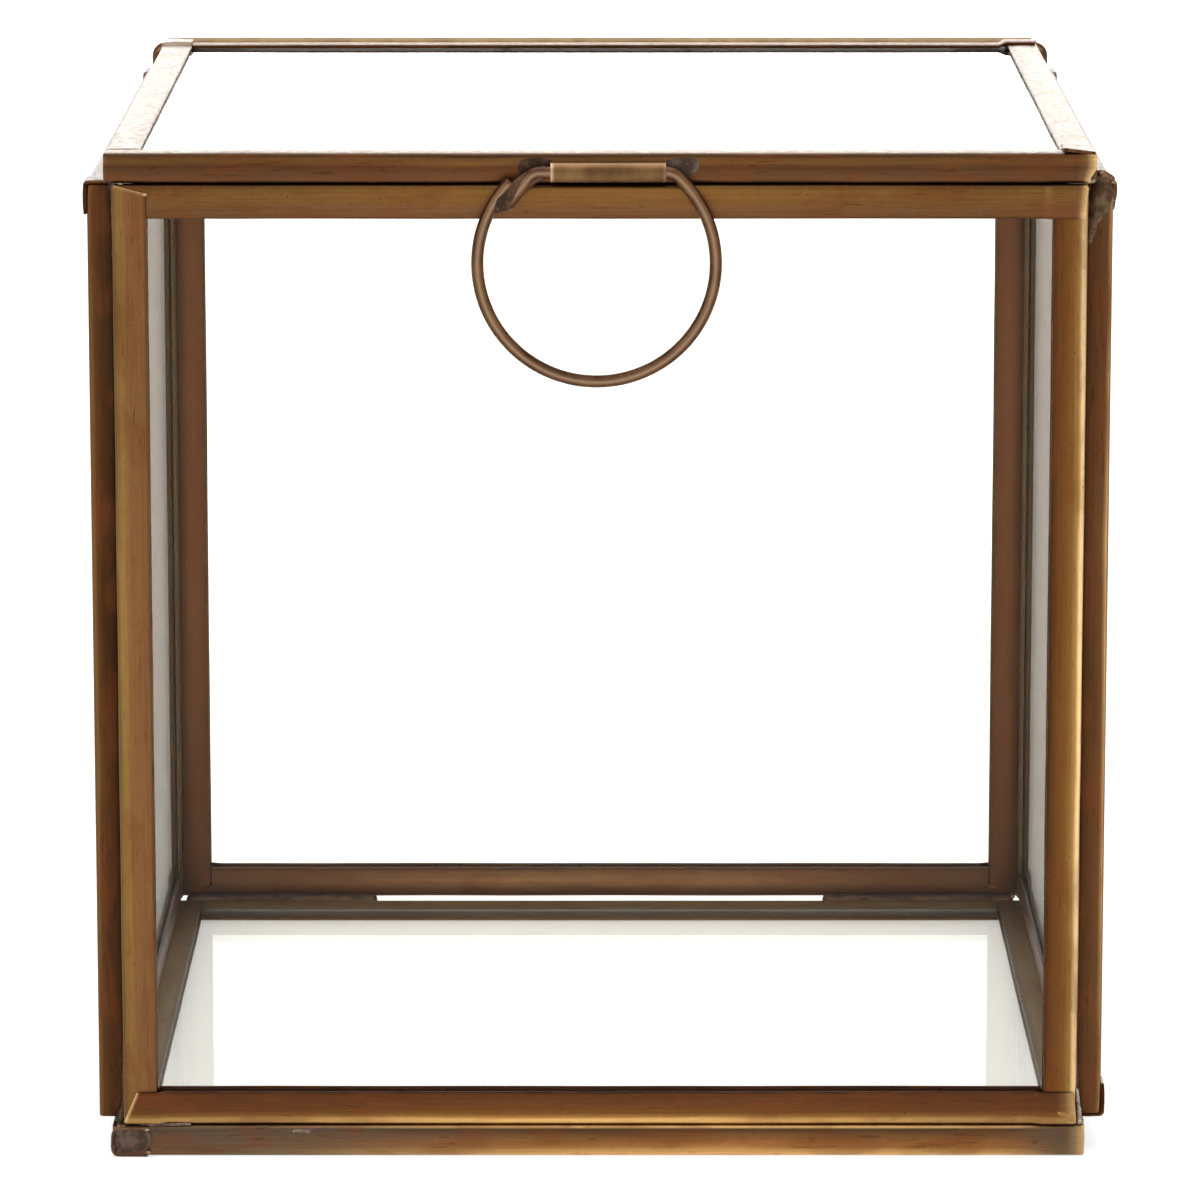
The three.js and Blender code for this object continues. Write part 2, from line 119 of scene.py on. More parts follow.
def add_rows(tree: bpy.types.NodeTree, known: dict, *rows: tuple) -> dict:
    """Adds the nodes of a table, in which a row may use the names of the rows before it.

    Args:
        tree: The tree that the nodes join.
        known: What the names stand for at first. Each row's node joins it.
        rows: For each node its name, what it does (a key of KINDS or an operation of the Math node) and
            its inputs in order.

    Returns:
        The known nodes, sockets and values by name.
    """
    for name, does, *inputs in rows:
        kind, settings = KINDS.get(does, ("ShaderNodeMath", {"operation": does}))
        filled = {i: known.get(value, value) for i, value in enumerate(inputs)}
        known[name] = add_node(tree, kind, filled, **settings)
    return known


class ShapeTree:
    """A Geometry Nodes tree with named inputs, which turns a path into a finished mesh."""

    def __init__(self, name: str, floats: tuple[str, ...], counts: tuple[str, ...] = ()) -> None:
        """Starts a tree. Besides the inputs given, it has a Seed and a Material.

        Args:
            name: The tree's name.
            floats: The inputs that are lengths or angles.
            counts: The inputs that are whole numbers.
        """
        self.tree = bpy.data.node_groups.new(name, "GeometryNodeTree")
        kinds = {"Geometry": "Geometry", **dict.fromkeys((*floats, "Seed"), "Float")}
        kinds |= {**dict.fromkeys(counts, "Int"), "Material": "Material"}
        for size, kind in kinds.items():
            self.tree.interface.new_socket(size, in_out="INPUT", socket_type=f"NodeSocket{kind}")
        self.tree.interface.new_socket("Geometry", in_out="OUTPUT", socket_type="NodeSocketGeometry")
        self.inputs = add_node(self.tree, "NodeGroupInput").outputs

    def node(self, kind: str, inputs: dict | None = None, **settings: object) -> bpy.types.Node:
        """Adds a node to this tree, as add_node does."""
        return add_node(self.tree, kind, inputs, **settings)

    def rows(self, *rows: tuple, **known: object) -> dict:
        """Adds nodes from a table to this tree, as add_rows does. The tree's inputs are known."""
        return add_rows(self.tree, dict(self.inputs.items()) | known, *rows)

    def outline(self, count: object, places: bpy.types.Node) -> bpy.types.Node:
        """Joins points into a closed outline.

        Args:
            count: How many points there are.
            places: The node that gives each point's place.

        Returns:
            The node that gives the outline.
        """
        line = self.node("GeometryNodeMeshLine", {"Count": count})
        placed = self.node("GeometryNodeSetPosition", {"Geometry": line, "Position": places})
        curve = self.node("GeometryNodeMeshToCurve", {"Mesh": placed})
        return self.node("GeometryNodeSetSplineCyclic", {"Geometry": curve, "Cyclic": True})

    def draw(self, profile: bpy.types.Node) -> bpy.types.Node:
        """Draws a profile along the tree's path and closes the ends.

        Args:
            profile: The node that gives the outline.

        Returns:
            The node that gives the drawn shape.
        """
        path = self.node("GeometryNodeMeshToCurve", {"Mesh": self.inputs["Geometry"]})
        drawn = {"Curve": path, "Profile Curve": profile, "Fill Caps": True}
        return self.node("GeometryNodeCurveToMesh", drawn)

    def keep_place(self, geometry: bpy.types.Node) -> bpy.types.Node:
        """Keeps each point's place on the straight channel for the finish, as an attribute.

        Args:
            geometry: The node that gives the shape.

        Returns:
            The node that gives the marked shape.
        """
        kept = {"Geometry": geometry, "Name": "on_channel", "Value": self.node("GeometryNodeInputPosition")}
        kind = "GeometryNodeStoreNamedAttribute"
        return self.node(kind, kept, data_type="FLOAT_VECTOR", domain="POINT")

    def rubbed(
        self, geometry: bpy.types.Node, facing: tuple[float, float, float], share: float, edge: float
    ) -> bpy.types.Node:
        """Paints a highlight on the side of a piece that faces a way, with a little rubbing by fingers and
        cloths.

        Args:
            geometry: The node that gives the piece.
            facing: The way that the highlit side faces.
            share: How bright the middle of the painted band is.
            edge: The cosine of the turn at which the painted band ends.

        Returns:
            The node that gives the marked piece.
        """
        normal = self.node("GeometryNodeInputNormal")
        towards = self.node("ShaderNodeVectorMath", {0: normal, 1: facing}, operation="DOT_PRODUCT")
        before = self.node("GeometryNodeInputNamedAttribute", {"Name": "worn"}, data_type="FLOAT")
        worn = self.rows(
            ("band", "EASED", "towards", edge, 1.0, 0.0, share),
            ("worn", "MAXIMUM", "before", "band"),
            towards=towards.outputs["Value"],
            before=before,
        )["worn"]
        kept = {"Geometry": geometry, "Name": "worn", "Value": worn}
        kind = "GeometryNodeStoreNamedAttribute"
        return self.node(kind, kept, data_type="FLOAT", domain="POINT")

    def noise(self, detail: float = 1.0) -> bpy.types.Node:
        """Gives noise as coarse as the tree's Uneven Length, set apart by its Seed.

        Args:
            detail: How many finer layers the noise has.

        Returns:
            The node of the noise.
        """
        fine = self.rows(("fine", "DIVIDE", 1.0, "Uneven Length"))["fine"]
        place = self.node("GeometryNodeInputPosition")
        drawn = {"Vector": place, "W": self.inputs["Seed"], "Scale": fine, "Detail": detail}
        return self.node("ShaderNodeTexNoise", drawn, noise_dimensions="4D")

    def dent(self, geometry: bpy.types.Node, detail: float = 1.0) -> None:
        """Moves every point a little, any way, as far as the tree's input Uneven says, and ends the tree.

        Args:
            geometry: The node that gives the shape.
            detail: How many finer layers the noise has.
        """
        middle = {0: self.noise(detail).outputs["Color"], 1: (0.5, 0.5, 0.5)}
        centred = self.node("ShaderNodeVectorMath", middle, operation="SUBTRACT")
        scaled = {0: centred, "Scale": self.inputs["Uneven"]}
        self.close(geometry, self.node("ShaderNodeVectorMath", scaled, operation="SCALE"))

    def close(self, geometry: bpy.types.Node, offset: bpy.types.Node) -> None:
        """Ends the tree: its points moved by an offset, made real geometry, with its material set.

        Args:
            geometry: The node that gives the shape.
            offset: The node that gives each point's last move.
        """
        moved = self.node("GeometryNodeSetPosition", {"Geometry": geometry, "Offset": offset})
        real = self.node("GeometryNodeRealizeInstances", {"Geometry": moved})
        coated = self.node("GeometryNodeSetMaterial", {"Geometry": real, "Material": self.inputs["Material"]})
        self.node("NodeGroupOutput", {0: coated})

    def grow(self, path: bpy.types.Mesh, lengths: dict[str, float], **others: object) -> bpy.types.Mesh:
        """Runs the tree on a path.

        Args:
            path: A mesh of points and edges, which is used up.
            lengths: The inputs that are lengths, in millimetres.
            others: The other inputs.

        Returns:
            The result as a plain mesh.
        """
        sizes = {name: length * MM for name, length in lengths.items()} | others
        carrier = bpy.data.objects.new("path", path)
        bpy.context.scene.collection.objects.link(carrier)
        modifier = carrier.modifiers.new("shape", "NODES")
        modifier.node_group = self.tree
        for item in self.tree.interface.items_tree:
            if item.in_out == "INPUT" and item.name in sizes:
                modifier[item.identifier] = sizes[item.name]
        graph = bpy.context.evaluated_depsgraph_get()
        mesh = bpy.data.meshes.new_from_object(
            carrier.evaluated_get(graph), preserve_all_data_layers=True, depsgraph=graph
        )
        carrier.modifiers.clear()
        bpy.data.objects.remove(carrier)
        bpy.data.meshes.remove(path)
        solid = bmesh.new()
        solid.from_mesh(mesh)
        if solid.calc_volume(signed=True) < 0:
            mesh.flip_normals()
        solid.free()
        return mesh


def path_mesh(points: list[Vector], **values: list[float]) -> bpy.types.Mesh:
    """Makes a path of points and edges for a shape tree.

    Args:
        points: The points in millimetres, in order.
        values: Lists with a number for each point, kept as attributes under their names.

    Returns:
        The mesh.
    """
    mesh = bpy.data.meshes.new("path")
    mesh.from_pydata([point * MM for point in points], [(i, i + 1) for i in range(len(points) - 1)], [])
    for name, numbers in values.items():
        mesh.attributes.new(name, "FLOAT", "POINT").data.foreach_set("value", numbers)
    return mesh


def straight(half: float, steps: int) -> list[Vector]:
    """Gives the points of a straight path along X from -half to half, in millimetres."""
    return [Vector((half * (2 * i / steps - 1), 0, 0)) for i in range(steps + 1)]


def bend_points(start: Vector, corner: Vector, to: Vector, radius: float, steps: int = 8) -> list[Vector]:
    """Gives the points of a bend that leaves one straight run and joins the next at their corner.

    Args:
        start: A point on the first run.
        corner: Where the two runs meet.
        to: A point on the second run.
        radius: How far from the corner the bend starts and ends.
        steps: How many steps it takes.

    Returns:
        The points, in order.
    """
    first = corner + (start - corner).normalized() * radius
    last = corner + (to - corner).normalized() * radius
    shares = [i / steps for i in range(steps + 1)]
    return [first * (1 - t) ** 2 + corner * (2 * t * (1 - t)) + last * t**2 for t in shares]


def smooth_share(place: float) -> float:
    """Eases a place from 0 to 1, level at both ends."""
    place = min(max(place, 0.0), 1.0)
    return place * place * (3 - 2 * place)


def show(
    name: str, mesh: bpy.types.Mesh, body: str, node: str = "", sharp_deg: float = 38.0
) -> bpy.types.Object:
    """Puts a finished mesh into the scene as a piece of the object.

    Args:
        name: The piece's name.
        mesh: Its mesh, in place.
        body: The body that it moves with.
        node: The CAD node that it stands for, if any.
        sharp_deg: Edges that turn more than this stay sharp.

    Returns:
        The object.
    """
    mesh.name = name
    mesh.polygons.foreach_set("use_smooth", [True] * len(mesh.polygons))
    mesh.set_sharp_from_angle(angle=math.radians(sharp_deg))
    piece = bpy.data.objects.new(name, mesh)
    bpy.context.scene.collection.objects.link(piece)
    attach(piece, body)
    if node:
        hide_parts(node)
    LOG.info("%s: %d faces on %s", name, len(mesh.polygons), body)
    return piece


# Finishes


@dataclass(frozen=True)
class Bands:
    """The colours across a channel: sRGB hex codes by their place in millimetres.

    A leg's places run from the fold to the lip. The web's run from its inner side to its outer one. Near
    its ends a length of channel takes on the end tint. An uneven of 1 is the usual patchiness. Besides the
    brass's own browns, the bands hold painted highlights on the folds, painted reflections across the faces
    and painted shade at the lips and on the web's inner side.
    """

    leg: dict[float, str]
    web: dict[float, str]
    end_tint: str = "4c3421"
    end_share: float = 0.25
    uneven: float = 1.0


class Patina(Enum):
    """How a length of channel has browned, and the highlights, reflections and shade painted across it."""

    # In each, the leg's last stop, at the lip, is painted shade where the leg meets the pane, and the web's
    # first stop is painted shade on its inner side.
    HONEY = Bands(
        {
            0.0: "4f4226", 0.3: "664f2c", 0.55: "7e6134", 1.1: "846437",
            1.6: "7a5634", 3.7: "745031", 4.0: "4a3422",
        },
        {-1.65: "3c2a1a", 0.0: "6b4a2a", 1.65: "6b5830"},
        "704c2c",
    )
    # The light stops near the fold, on the leg and the web, are a painted highlight.
    TAWNY = Bands(
        {
            0.0: "b08f60", 0.2: "dcbb88", 0.5: "e6c48e", 0.85: "9c7844",
            1.5: "7a542a", 2.4: "6a4420", 3.2: "5e3b1e", 4.0: "3a2414",
        },
        {-1.65: "3c2a1a", 0.0: "6b4728", 1.3: "8a6a40", 1.65: "b08f60"},
        "5f3c1f",
    )
    CHESTNUT = Bands(
        {
            0.0: "4a3520", 0.3: "664a28", 0.7: "7d582c", 2.0: "78542e",
            3.0: "704d32", 3.8: "66452a", 4.0: "3a2718",
        },
        {-1.65: "3c2a1a", 0.0: "5a3e24", 1.65: "4a3520"},
    )
    # The light stops near the fold, on the leg and the web, are a painted highlight.
    COPPERED = Bands(
        {
            0.0: "cca263", 0.7: "c89e5f", 1.05: "8f6736", 1.5: "6a4522",
            2.6: "603b21", 3.7: "58361f", 4.0: "2c1b11",
        },
        {-1.65: "3c2a1a", 0.0: "5f4023", 1.3: "8a6638", 1.65: "b98f52"},
        "4f2f1e",
        0.5,
    )
    WALNUT = Bands(
        {0.0: "35251a", 0.35: "4a3526", 0.8: "8f7c66", 3.8: "8a7661", 4.0: "3a2718"},
        {
            -1.65: "3a2415", -1.2: "64422a", -0.4: "5c3e28", 0.2: "523420",
            0.8: "6e4c2a", 1.3: "664628", 1.65: "2f2015",
        },
    )
    BUFFED = Bands(
        {0.0: "8a7562", 1.0: "978674", 3.8: "8c7a68", 4.0: "6b5848"},
        {-1.65: "3a2415", 0.0: "5a3d27", 1.65: "6b4c2e"},
        "7c6a58",
        uneven=0.3,
    )
    # The light stops near the fold, on the leg and the web, are a painted highlight.
    DULLED = Bands(
        {0.0: "d0a870", 0.5: "c49a62", 1.0: "845831", 3.8: "5a4630", 4.0: "3a2c20"},
        {
            -1.65: "3a2c20", -1.2: "4f3b26", -0.6: "6b4a2c", 0.2: "845831",
            0.8: "8f6436", 1.2: "ae8450", 1.65: "bd935c",
        },
        "54463a",
        0.85,
    )
    UMBER = Bands(
        {0.0: "6b4a2a", 1.0: "5f3f24", 3.7: "523620", 4.0: "33221a"},
        {-1.65: "2a190e", -0.9: "3d2615", 0.3: "452b17", 1.0: "53371e", 1.35: "6e4d2c", 1.65: "5a4026"},
    )
    # The light stops at the web's outer side are a painted highlight on the fold.
    RUSSET = Bands(
        {0.0: "8a6740", 0.6: "6f4c2b", 1.6: "603c22", 3.7: "543620", 4.0: "33221a"},
        {
            -1.65: "362212", -1.0: "4f321d", 0.0: "55371f", 1.0: "5f4028",
            1.32: "8a6740", 1.52: "b08f62", 1.65: "9a7a50",
        },
    )
    SMOKED = Bands(
        {0.0: "6b5a3c", 0.8: "6e4a2e", 2.4: "74482c", 3.8: "603d24", 4.0: "2f2118"},
        {-1.65: "3a2a1c", 0.0: "563c26", 1.65: "5b4a33"},
    )
    GREYED = Bands(
        {0.0: "54402c", 0.8: "7d5a3c", 2.2: "966c48", 3.4: "7d583a", 4.0: "3a2a1e"},
        {-1.65: "3a2a1c", 0.0: "563c26", 1.65: "5b4a33"},
        "583b28",
        0.7,
    )
    ASHEN = Bands(
        {0.0: "5c4a3c", 2.0: "54443a", 4.0: "4a3a30"},
        {-1.8: "4c3c30", -0.6: "5e4d42", 0.4: "6a584c", 1.2: "5a4438", 1.8: "7a5c44"},
    )
    OLIVE = Bands(
        {0.0: "a08a5c", 1.0: "8e754e", 3.0: "7f6644", 4.0: "544632"},
        {-1.65: "3f3122", 0.0: "66512f", 1.65: "7a6540"},
    )


class Finish:
    """A material that is made once, on the first call, and named for what it is and how it was made."""

    name: str
    bump_depth: float

    def material(self) -> bpy.types.Material:
        """Gives the material.

        Returns:
            The material.
        """
        if self.name in bpy.data.materials:
            return bpy.data.materials[self.name]
        material = bpy.data.materials.new(self.name)
        material.use_nodes = True
        material.node_tree.nodes.clear()
        self.coat(material.node_tree)
        return material

    def coat(self, tree: bpy.types.NodeTree) -> None:
        """Builds the material's nodes in its tree."""
        raise NotImplementedError

    def layered(self, tree: bpy.types.NodeTree, colour: object, *layers: tuple) -> bpy.types.NodeSocket:
        """Lays colours over a first one.

        Args:
            tree: The material's tree.
            colour: The first colour.
            layers: For each layer the share of it that shows, and its hex code or what gives its colour.

        Returns:
            The socket that gives the colour.
        """
        for share, over in layers:
            over = linear(over) if isinstance(over, str) else over
            mixed = {"Factor": share, MIX_UNDER: colour, MIX_OVER: over}
            colour = add_node(tree, "ShaderNodeMix", mixed, data_type="RGBA").outputs[MIXED]
        return colour

    def metal(
        self, tree: bpy.types.NodeTree, colour: object, rough: object, height: object,
        strength: float = 0.6, metallic: float = 1.0,
    ) -> None:
        """Ends the tree as a metal surface.

        Args:
            tree: The material's tree.
            colour: What gives the colour.
            rough: What gives the roughness.
            height: What gives the fine relief, as deep as the finish's bump depth.
            strength: How far the relief tells.
            metallic: How metallic it is.
        """
        relief = {"Height": height, "Strength": strength, "Distance": self.bump_depth * MM}
        bump = add_node(tree, "ShaderNodeBump", relief)
        surface = {"Base Color": colour, "Metallic": metallic, "Roughness": rough, "Normal": bump}
        shader = add_node(tree, "ShaderNodeBsdfPrincipled", surface)
        add_node(tree, "ShaderNodeOutputMaterial", {"Surface": shader})


@dataclass(frozen=True)
class SheetBrass(Finish):
    """Cold-folded brass sheet, browned by age, with highlights and shade painted into its colour.

    The rolled sheet leaves faint streaks along the channel. Bands across it paint bright folds, soft
    reflections across the faces and shade at the lips, and the ends are painted bright, partly as rubbing
    and partly as a highlight, so the eye sees bands of warm metal that are never one even colour.
    """

    patina: Patina
    half_thickness: float = 1.65
    leg: float = 4.0
    # The colour of the bright ends: brass bared by rubbing, and a painted highlight.
    worn: str = "d4b078"
    blush: str = "6a3a20"
    speck: str = "2a1c12"
    # The length and width of each pattern in millimetres. Real rolling lines are about 0.05 mm apart, too
    # fine to show, so the streaks are drawn at 0.2 mm.
    patch_size: tuple[float, float] = (26.0, 5.0)
    blush_size: tuple[float, float] = (9.0, 3.0)
    streak_size: tuple[float, float] = (12.0, 0.2)
    mottle_size: tuple[float, float] = (0.7, 0.7)
    scuff_size: tuple[float, float] = (4.0, 0.45)
    waver: float = 0.7
    fold_blend: tuple[float, float] = (0.3, 0.15)
    bump_depth: float = 0.014

    @property
    def name(self) -> str:
        """The material's name."""
        return f"folded_aged_brass_{self.patina.name.lower()}"

    def coat(self, tree: bpy.types.NodeTree) -> None:
        """Lays streaks, mottle, specks, scuffs and the bright ends, which are partly painted highlights, over
        the bands of colour.

        Args:
            tree: The material's tree.
        """
        bands = self.patina.value
        place = add_node(tree, "ShaderNodeAttribute", attribute_name="on_channel").outputs["Vector"]
        in_mm = add_node(tree, "ShaderNodeVectorMath", {0: place, "Scale": 1 / MM}, operation="SCALE")
        known = {}
        for grain, size, detail, distortion in (
            ("patch", self.patch_size, 3.0, 0.4),
            ("blush", self.blush_size, 4.0, 0.8),
            ("streak", self.streak_size, 2.0, 0.0),
            ("mottle", self.mottle_size, 3.0, 0.0),
            ("scuff", self.scuff_size, 1.0, 1.2),
        ):
            scale = (1 / size[0], 1 / size[1], 1 / size[1])
            scaled = add_node(tree, "ShaderNodeMapping", {"Vector": in_mm, "Scale": scale})
            drawn = {"Vector": scaled, "Scale": 1.0, "Detail": detail, "Distortion": distortion}
            known[grain] = add_node(tree, "ShaderNodeTexNoise", drawn)
        apart = add_node(tree, "ShaderNodeSeparateXYZ", {0: in_mm}).outputs
        known |= {"inward": apart["Y"], "outward": apart["Z"]}
        banded = self.banded(tree, known)
        for name in ("middle", "worn"):
            known[name] = add_node(tree, "ShaderNodeAttribute", attribute_name=name).outputs["Fac"]
        add_rows(
            tree,
            known,
            ("near_end", "MAP", "middle", 0.0, 1.0, bands.end_share, 0.0),
            ("reddened", "EASED", "blush", 0.46, 0.66, 0.0, 0.35 * bands.uneven),
            ("specked", "EASED", "mottle", 0.7, 0.76, 0.0, 0.5),
            ("scuffed", "EASED", "scuff", 0.66, 0.74, 0.0, 0.4),
            ("rough", "MAP", "mottle", 0.3, 0.7, 0.34, 0.5),
            ("height", "MULTIPLY_ADD", "streak", 0.6, "mottle"),
        )
        # The bright ends go on last, as rubbing and as a painted highlight.
        colour = self.layered(
            tree,
            banded,
            (known["near_end"], bands.end_tint),
            (known["reddened"], self.blush),
            (known["specked"], self.speck),
            (known["scuffed"], self.speck),
            (known["worn"], self.worn),
        )
        known["light"] = 1.0
        for grain, share in (("patch", 0.4), ("streak", 0.5), ("mottle", 0.34)):
            spread = share * bands.uneven / 2
            map_row = ("spread", "MAP", grain, 0.0, 1.0, 1 - spread, 1 + spread)
            add_rows(tree, known, map_row, ("light", "MULTIPLY", "light", "spread"))
        shaded = add_node(tree, "ShaderNodeHueSaturation", {"Value": known["light"], "Color": colour})
        self.metal(tree, shaded, known["rough"], known["height"])

    def banded(self, tree: bpy.types.NodeTree, known: dict) -> bpy.types.NodeSocket:
        """Lays the bands of colour, with their painted highlights and shade, over the legs and the web, a
        little wavy along the channel.

        Args:
            tree: The material's tree.
            known: The noise that makes the bands waver, and the point's place on the channel in millimetres.

        Returns:
            The socket that gives the banded colour.
        """
        half = self.half_thickness
        web_end, leg_start = half - self.fold_blend[0], half + self.fold_blend[1]
        add_rows(
            tree,
            known,
            ("waver", "MULTIPLY_ADD", "patch", self.waver, -self.waver / 2),
            ("leg_place", "ADD", "inward", "waver"),
            ("web_place", "ADD", "outward", "waver"),
            ("leg_share", "MAP", "leg_place", 0.0, self.leg),
            ("web_share", "MAP", "web_place", -half, half),
            ("side", "ABSOLUTE", "outward"),
            ("past_fold", "ADD", "inward", "side"),
            ("on_leg", "EASED", "past_fold", web_end, leg_start),
        )
        for part, first, last in (("leg", 0.0, self.leg), ("web", -half, half)):
            ramp = add_node(tree, "ShaderNodeValToRGB", {"Fac": known[f"{part}_share"]})
            elements = ramp.color_ramp.elements
            elements.remove(elements[1])
            for i, (at, code) in enumerate(getattr(self.patina.value, part).items()):
                element = elements.new((at - first) / (last - first)) if i else elements[0]
                element.color = linear(code)
            known[part] = ramp
        return self.layered(tree, known["web"], (known["on_leg"], known["leg"]))


@dataclass(frozen=True)
class DrawnBrass(Finish):
    """Round brass wire and rolled strip, browned and handled, with a soft shine.

    Drawing leaves the surface closer and smoother than sheet, so it carries a longer, cleaner highlight. A
    further highlight is painted into the colour: on the side of wire that faces the front, along the top of
    rolled strip and on the sleeve's rims.
    """

    name: str
    light: str = "63432c"
    dark: str = "432a1d"
    # The colour of the painted highlight, with a little rubbing in it.
    worn: str = "d6b692"
    rough: float = 0.34
    patch: float = 2.6
    grain: float = 0.35
    bump_depth: float = 0.012

    def coat(self, tree: bpy.types.NodeTree) -> None:
        """Mixes the two browns in patches and lays the painted highlight over them.

        Args:
            tree: The material's tree.
        """
        place = add_node(tree, "ShaderNodeTexCoord").outputs["Object"]
        patch, grain = (
            add_node(tree, "ShaderNodeTexNoise", {"Vector": place, "Scale": 1 / (size * MM), "Detail": fine})
            for size, fine in ((self.patch, 4.0), (self.grain, 2.0))
        )
        known = add_rows(
            tree,
            {"patch": patch},
            ("share", "EASED", "patch", 0.25, 0.75),
            ("rough", "MAP", "patch", 0.3, 0.7, self.rough - 0.06, self.rough + 0.08),
        )
        # This attribute paints a highlight on the side that faces the front or up, and on the sleeve's rims.
        rubbed = add_node(tree, "ShaderNodeAttribute", attribute_name="worn").outputs["Fac"]
        layers = ((known["share"], self.light), (rubbed, self.worn))
        self.metal(tree, self.layered(tree, linear(self.dark), *layers), known["rough"], grain)


@dataclass(frozen=True)
class SoftSolder(Finish):
    """Soft solder that ran, set in lumps and tarnished to a brown grey.

    The set skin is dull and pitted, but a few high spots stay bright where something rubs them.
    """

    name: str = "tarnished_soft_solder"
    dull: str = "7a6250"
    brown: str = "523f30"
    bright: str = "9c8a76"
    blotch: float = 1.5
    pit: float = 0.4
    bump_depth: float = 0.03

    def coat(self, tree: bpy.types.NodeTree) -> None:
        """Mixes the tarnish in blotches and brightens the high spots.

        Args:
            tree: The material's tree.
        """
        place = add_node(tree, "ShaderNodeTexCoord").outputs["Object"]
        blotch, pit = (
            add_node(tree, "ShaderNodeTexNoise", {"Vector": place, "Scale": 1 / (size * MM), "Detail": fine})
            for size, fine in ((self.blotch, 5.0), (self.pit, 3.0))
        )
        known = add_rows(
            tree,
            {"blotch": blotch, "pit": pit},
            ("share", "EASED", "blotch", 0.4, 0.6),
            ("spots", "EASED", "pit", 0.62, 0.8),
            ("rough", "MAP", "pit", 0.4, 0.72, 0.58, 0.28),
        )
        layers = ((known["share"], self.dull), (known["spots"], self.bright))
        colour = self.layered(tree, linear(self.brown), *layers)
        self.metal(tree, colour, known["rough"], pit, strength=0.8, metallic=0.85)


BROWN_SOLDER = SoftSolder("browned_soft_solder", "563f2e", "38271b", "75604c")
SMEARED_SOLDER = SoftSolder("smeared_soft_solder", "7f6e5e", "55443a", "b3a899")
DULLED_SOLDER = SoftSolder("dulled_soft_solder", "5e4d40", "43342a", "8a7b6c")
# Light solder for the small drops, whose bright colour paints small glints on them.
GLINT_SOLDER = SoftSolder("glint_painted_soft_solder", "b3a183", "8a7657", "e6d8bb")


@dataclass(frozen=True)
class FloatGlass(Finish):
    """Polished float glass, clear, with fine smears from wiping that dull its shine in places.

    Light from the lamps goes straight through it, so the panes leave no dark shadow. The standing panes
    face a dim part of the room, so their IOR is below the usual 1.52: they mirror little, and the eye
    sees the dark brass behind them undimmed.
    """

    name: str = "polished_standing_glass"
    ior: float = 1.16
    tint: str = "fcfdf8"
    smear: float = 9.0
    smear_across: float = 2.5

    def coat(self, tree: bpy.types.NodeTree) -> None:
        """Smears clear glass and lets the lamps' light through.

        Args:
            tree: The material's tree.
        """
        place = add_node(tree, "ShaderNodeTexCoord").outputs["Object"]
        scale = (1 / (self.smear * MM), 1 / (self.smear * MM), 1 / (self.smear_across * MM))
        wiped = add_node(tree, "ShaderNodeMapping", {"Vector": place, "Scale": scale})
        smear = add_node(tree, "ShaderNodeTexNoise", {"Vector": wiped, "Scale": 1.0, "Detail": 4.0})
        rough = add_rows(tree, {"smear": smear}, ("rough", "EASED", "smear", 0.5, 0.75, 0.0, 0.025))["rough"]
        clear = {"Base Color": linear(self.tint), "Metallic": 0.0, "Roughness": rough}
        clear |= {"IOR": self.ior, "Transmission Weight": 1.0}
        shader = add_node(tree, "ShaderNodeBsdfPrincipled", clear)
        shadow = add_node(tree, "ShaderNodeLightPath").outputs["Is Shadow Ray"]
        through = add_node(tree, "ShaderNodeBsdfTransparent")
        mixed = add_node(tree, "ShaderNodeMixShader", {0: shadow, 1: shader, 2: through})
        add_node(tree, "ShaderNodeOutputMaterial", {"Surface": mixed})


def seen(tree: bpy.types.NodeTree, strength: float) -> bpy.types.Node:
    """Gives a strength that only the camera, glass and shiny metal see.

    Args:
        tree: The tree that it is for.
        strength: The strength.

    Returns:
        The node that gives it.
    """
    return add_rows(
        tree,
        dict(add_node(tree, "ShaderNodeLightPath").outputs.items()),
        ("shiny", "MAXIMUM", "Is Glossy Ray", "Is Transmission Ray"),
        ("either", "MAXIMUM", "Is Camera Ray", "shiny"),
        ("seen", "MULTIPLY", "either", strength),
    )["seen"]


@dataclass(frozen=True)
class MattCard(Finish):
    """Matt pale card under the box: white to the eye, with the box's soft shadow on it."""

    name: str = "matt_white_paper"
    colour: str = "e8e8e6"
    glow: float = 0.6

    def coat(self, tree: bpy.types.NodeTree) -> None:
        """Adds a glow that nothing but the eye sees to the pale card.

        Args:
            tree: The material's tree.
        """
        matt = add_node(tree, "ShaderNodeBsdfDiffuse", {"Color": linear(self.colour)})
        lift = add_node(tree, "ShaderNodeEmission", {"Strength": seen(tree, self.glow)})
        both = add_node(tree, "ShaderNodeAddShader", {0: matt, 1: lift})
        add_node(tree, "ShaderNodeOutputMaterial", {"Surface": both})


# Shapes


class Over(Enum):
    """Which of two channels lies on top at a corner, counter-clockwise round the panel."""

    ENDING = 0
    STARTING = 1


@dataclass(frozen=True)
class Corner:
    """How two channels meet. The upper one's leg is cut at a slant and its end may be painted bright, partly
    as rubbing and partly as a highlight.

    The lift is the share of the step that the upper leg takes. The lower leg is pressed down for the rest.
    The tuck draws the foot of the upper web back, and the trim is the share of its leg that is cut away.
    The stain is how far the end tint reaches along both channels.
    """

    over: Over
    slant: float = 0.1
    lift: float = 1.0
    joggle: float = 1.2
    # How bright the upper end is painted, as rubbing and as a highlight, and over what length.
    wear: float = 0.0
    wear_length: float = 0.6
    tuck: float = 0.0
    trim: float = 0.0
    stain: float = 38.0


@dataclass(frozen=True)
class ChannelEnd:
    """One end of a channel: it lies on top at its corner, or stops short under its neighbour."""

    laps: bool
    corner: Corner


# What the sheet does where a channel just runs on.
STILL = dict.fromkeys(("slant", "rise", "draw", "butt", "worn", "tuck", "trim"), 0.0)
CHANNEL_LENGTHS = (
    "leg", "thickness", "sheet", "fold", "crown", "lip", "lap_step", "butt_gap", "wave", "wave_length"
)


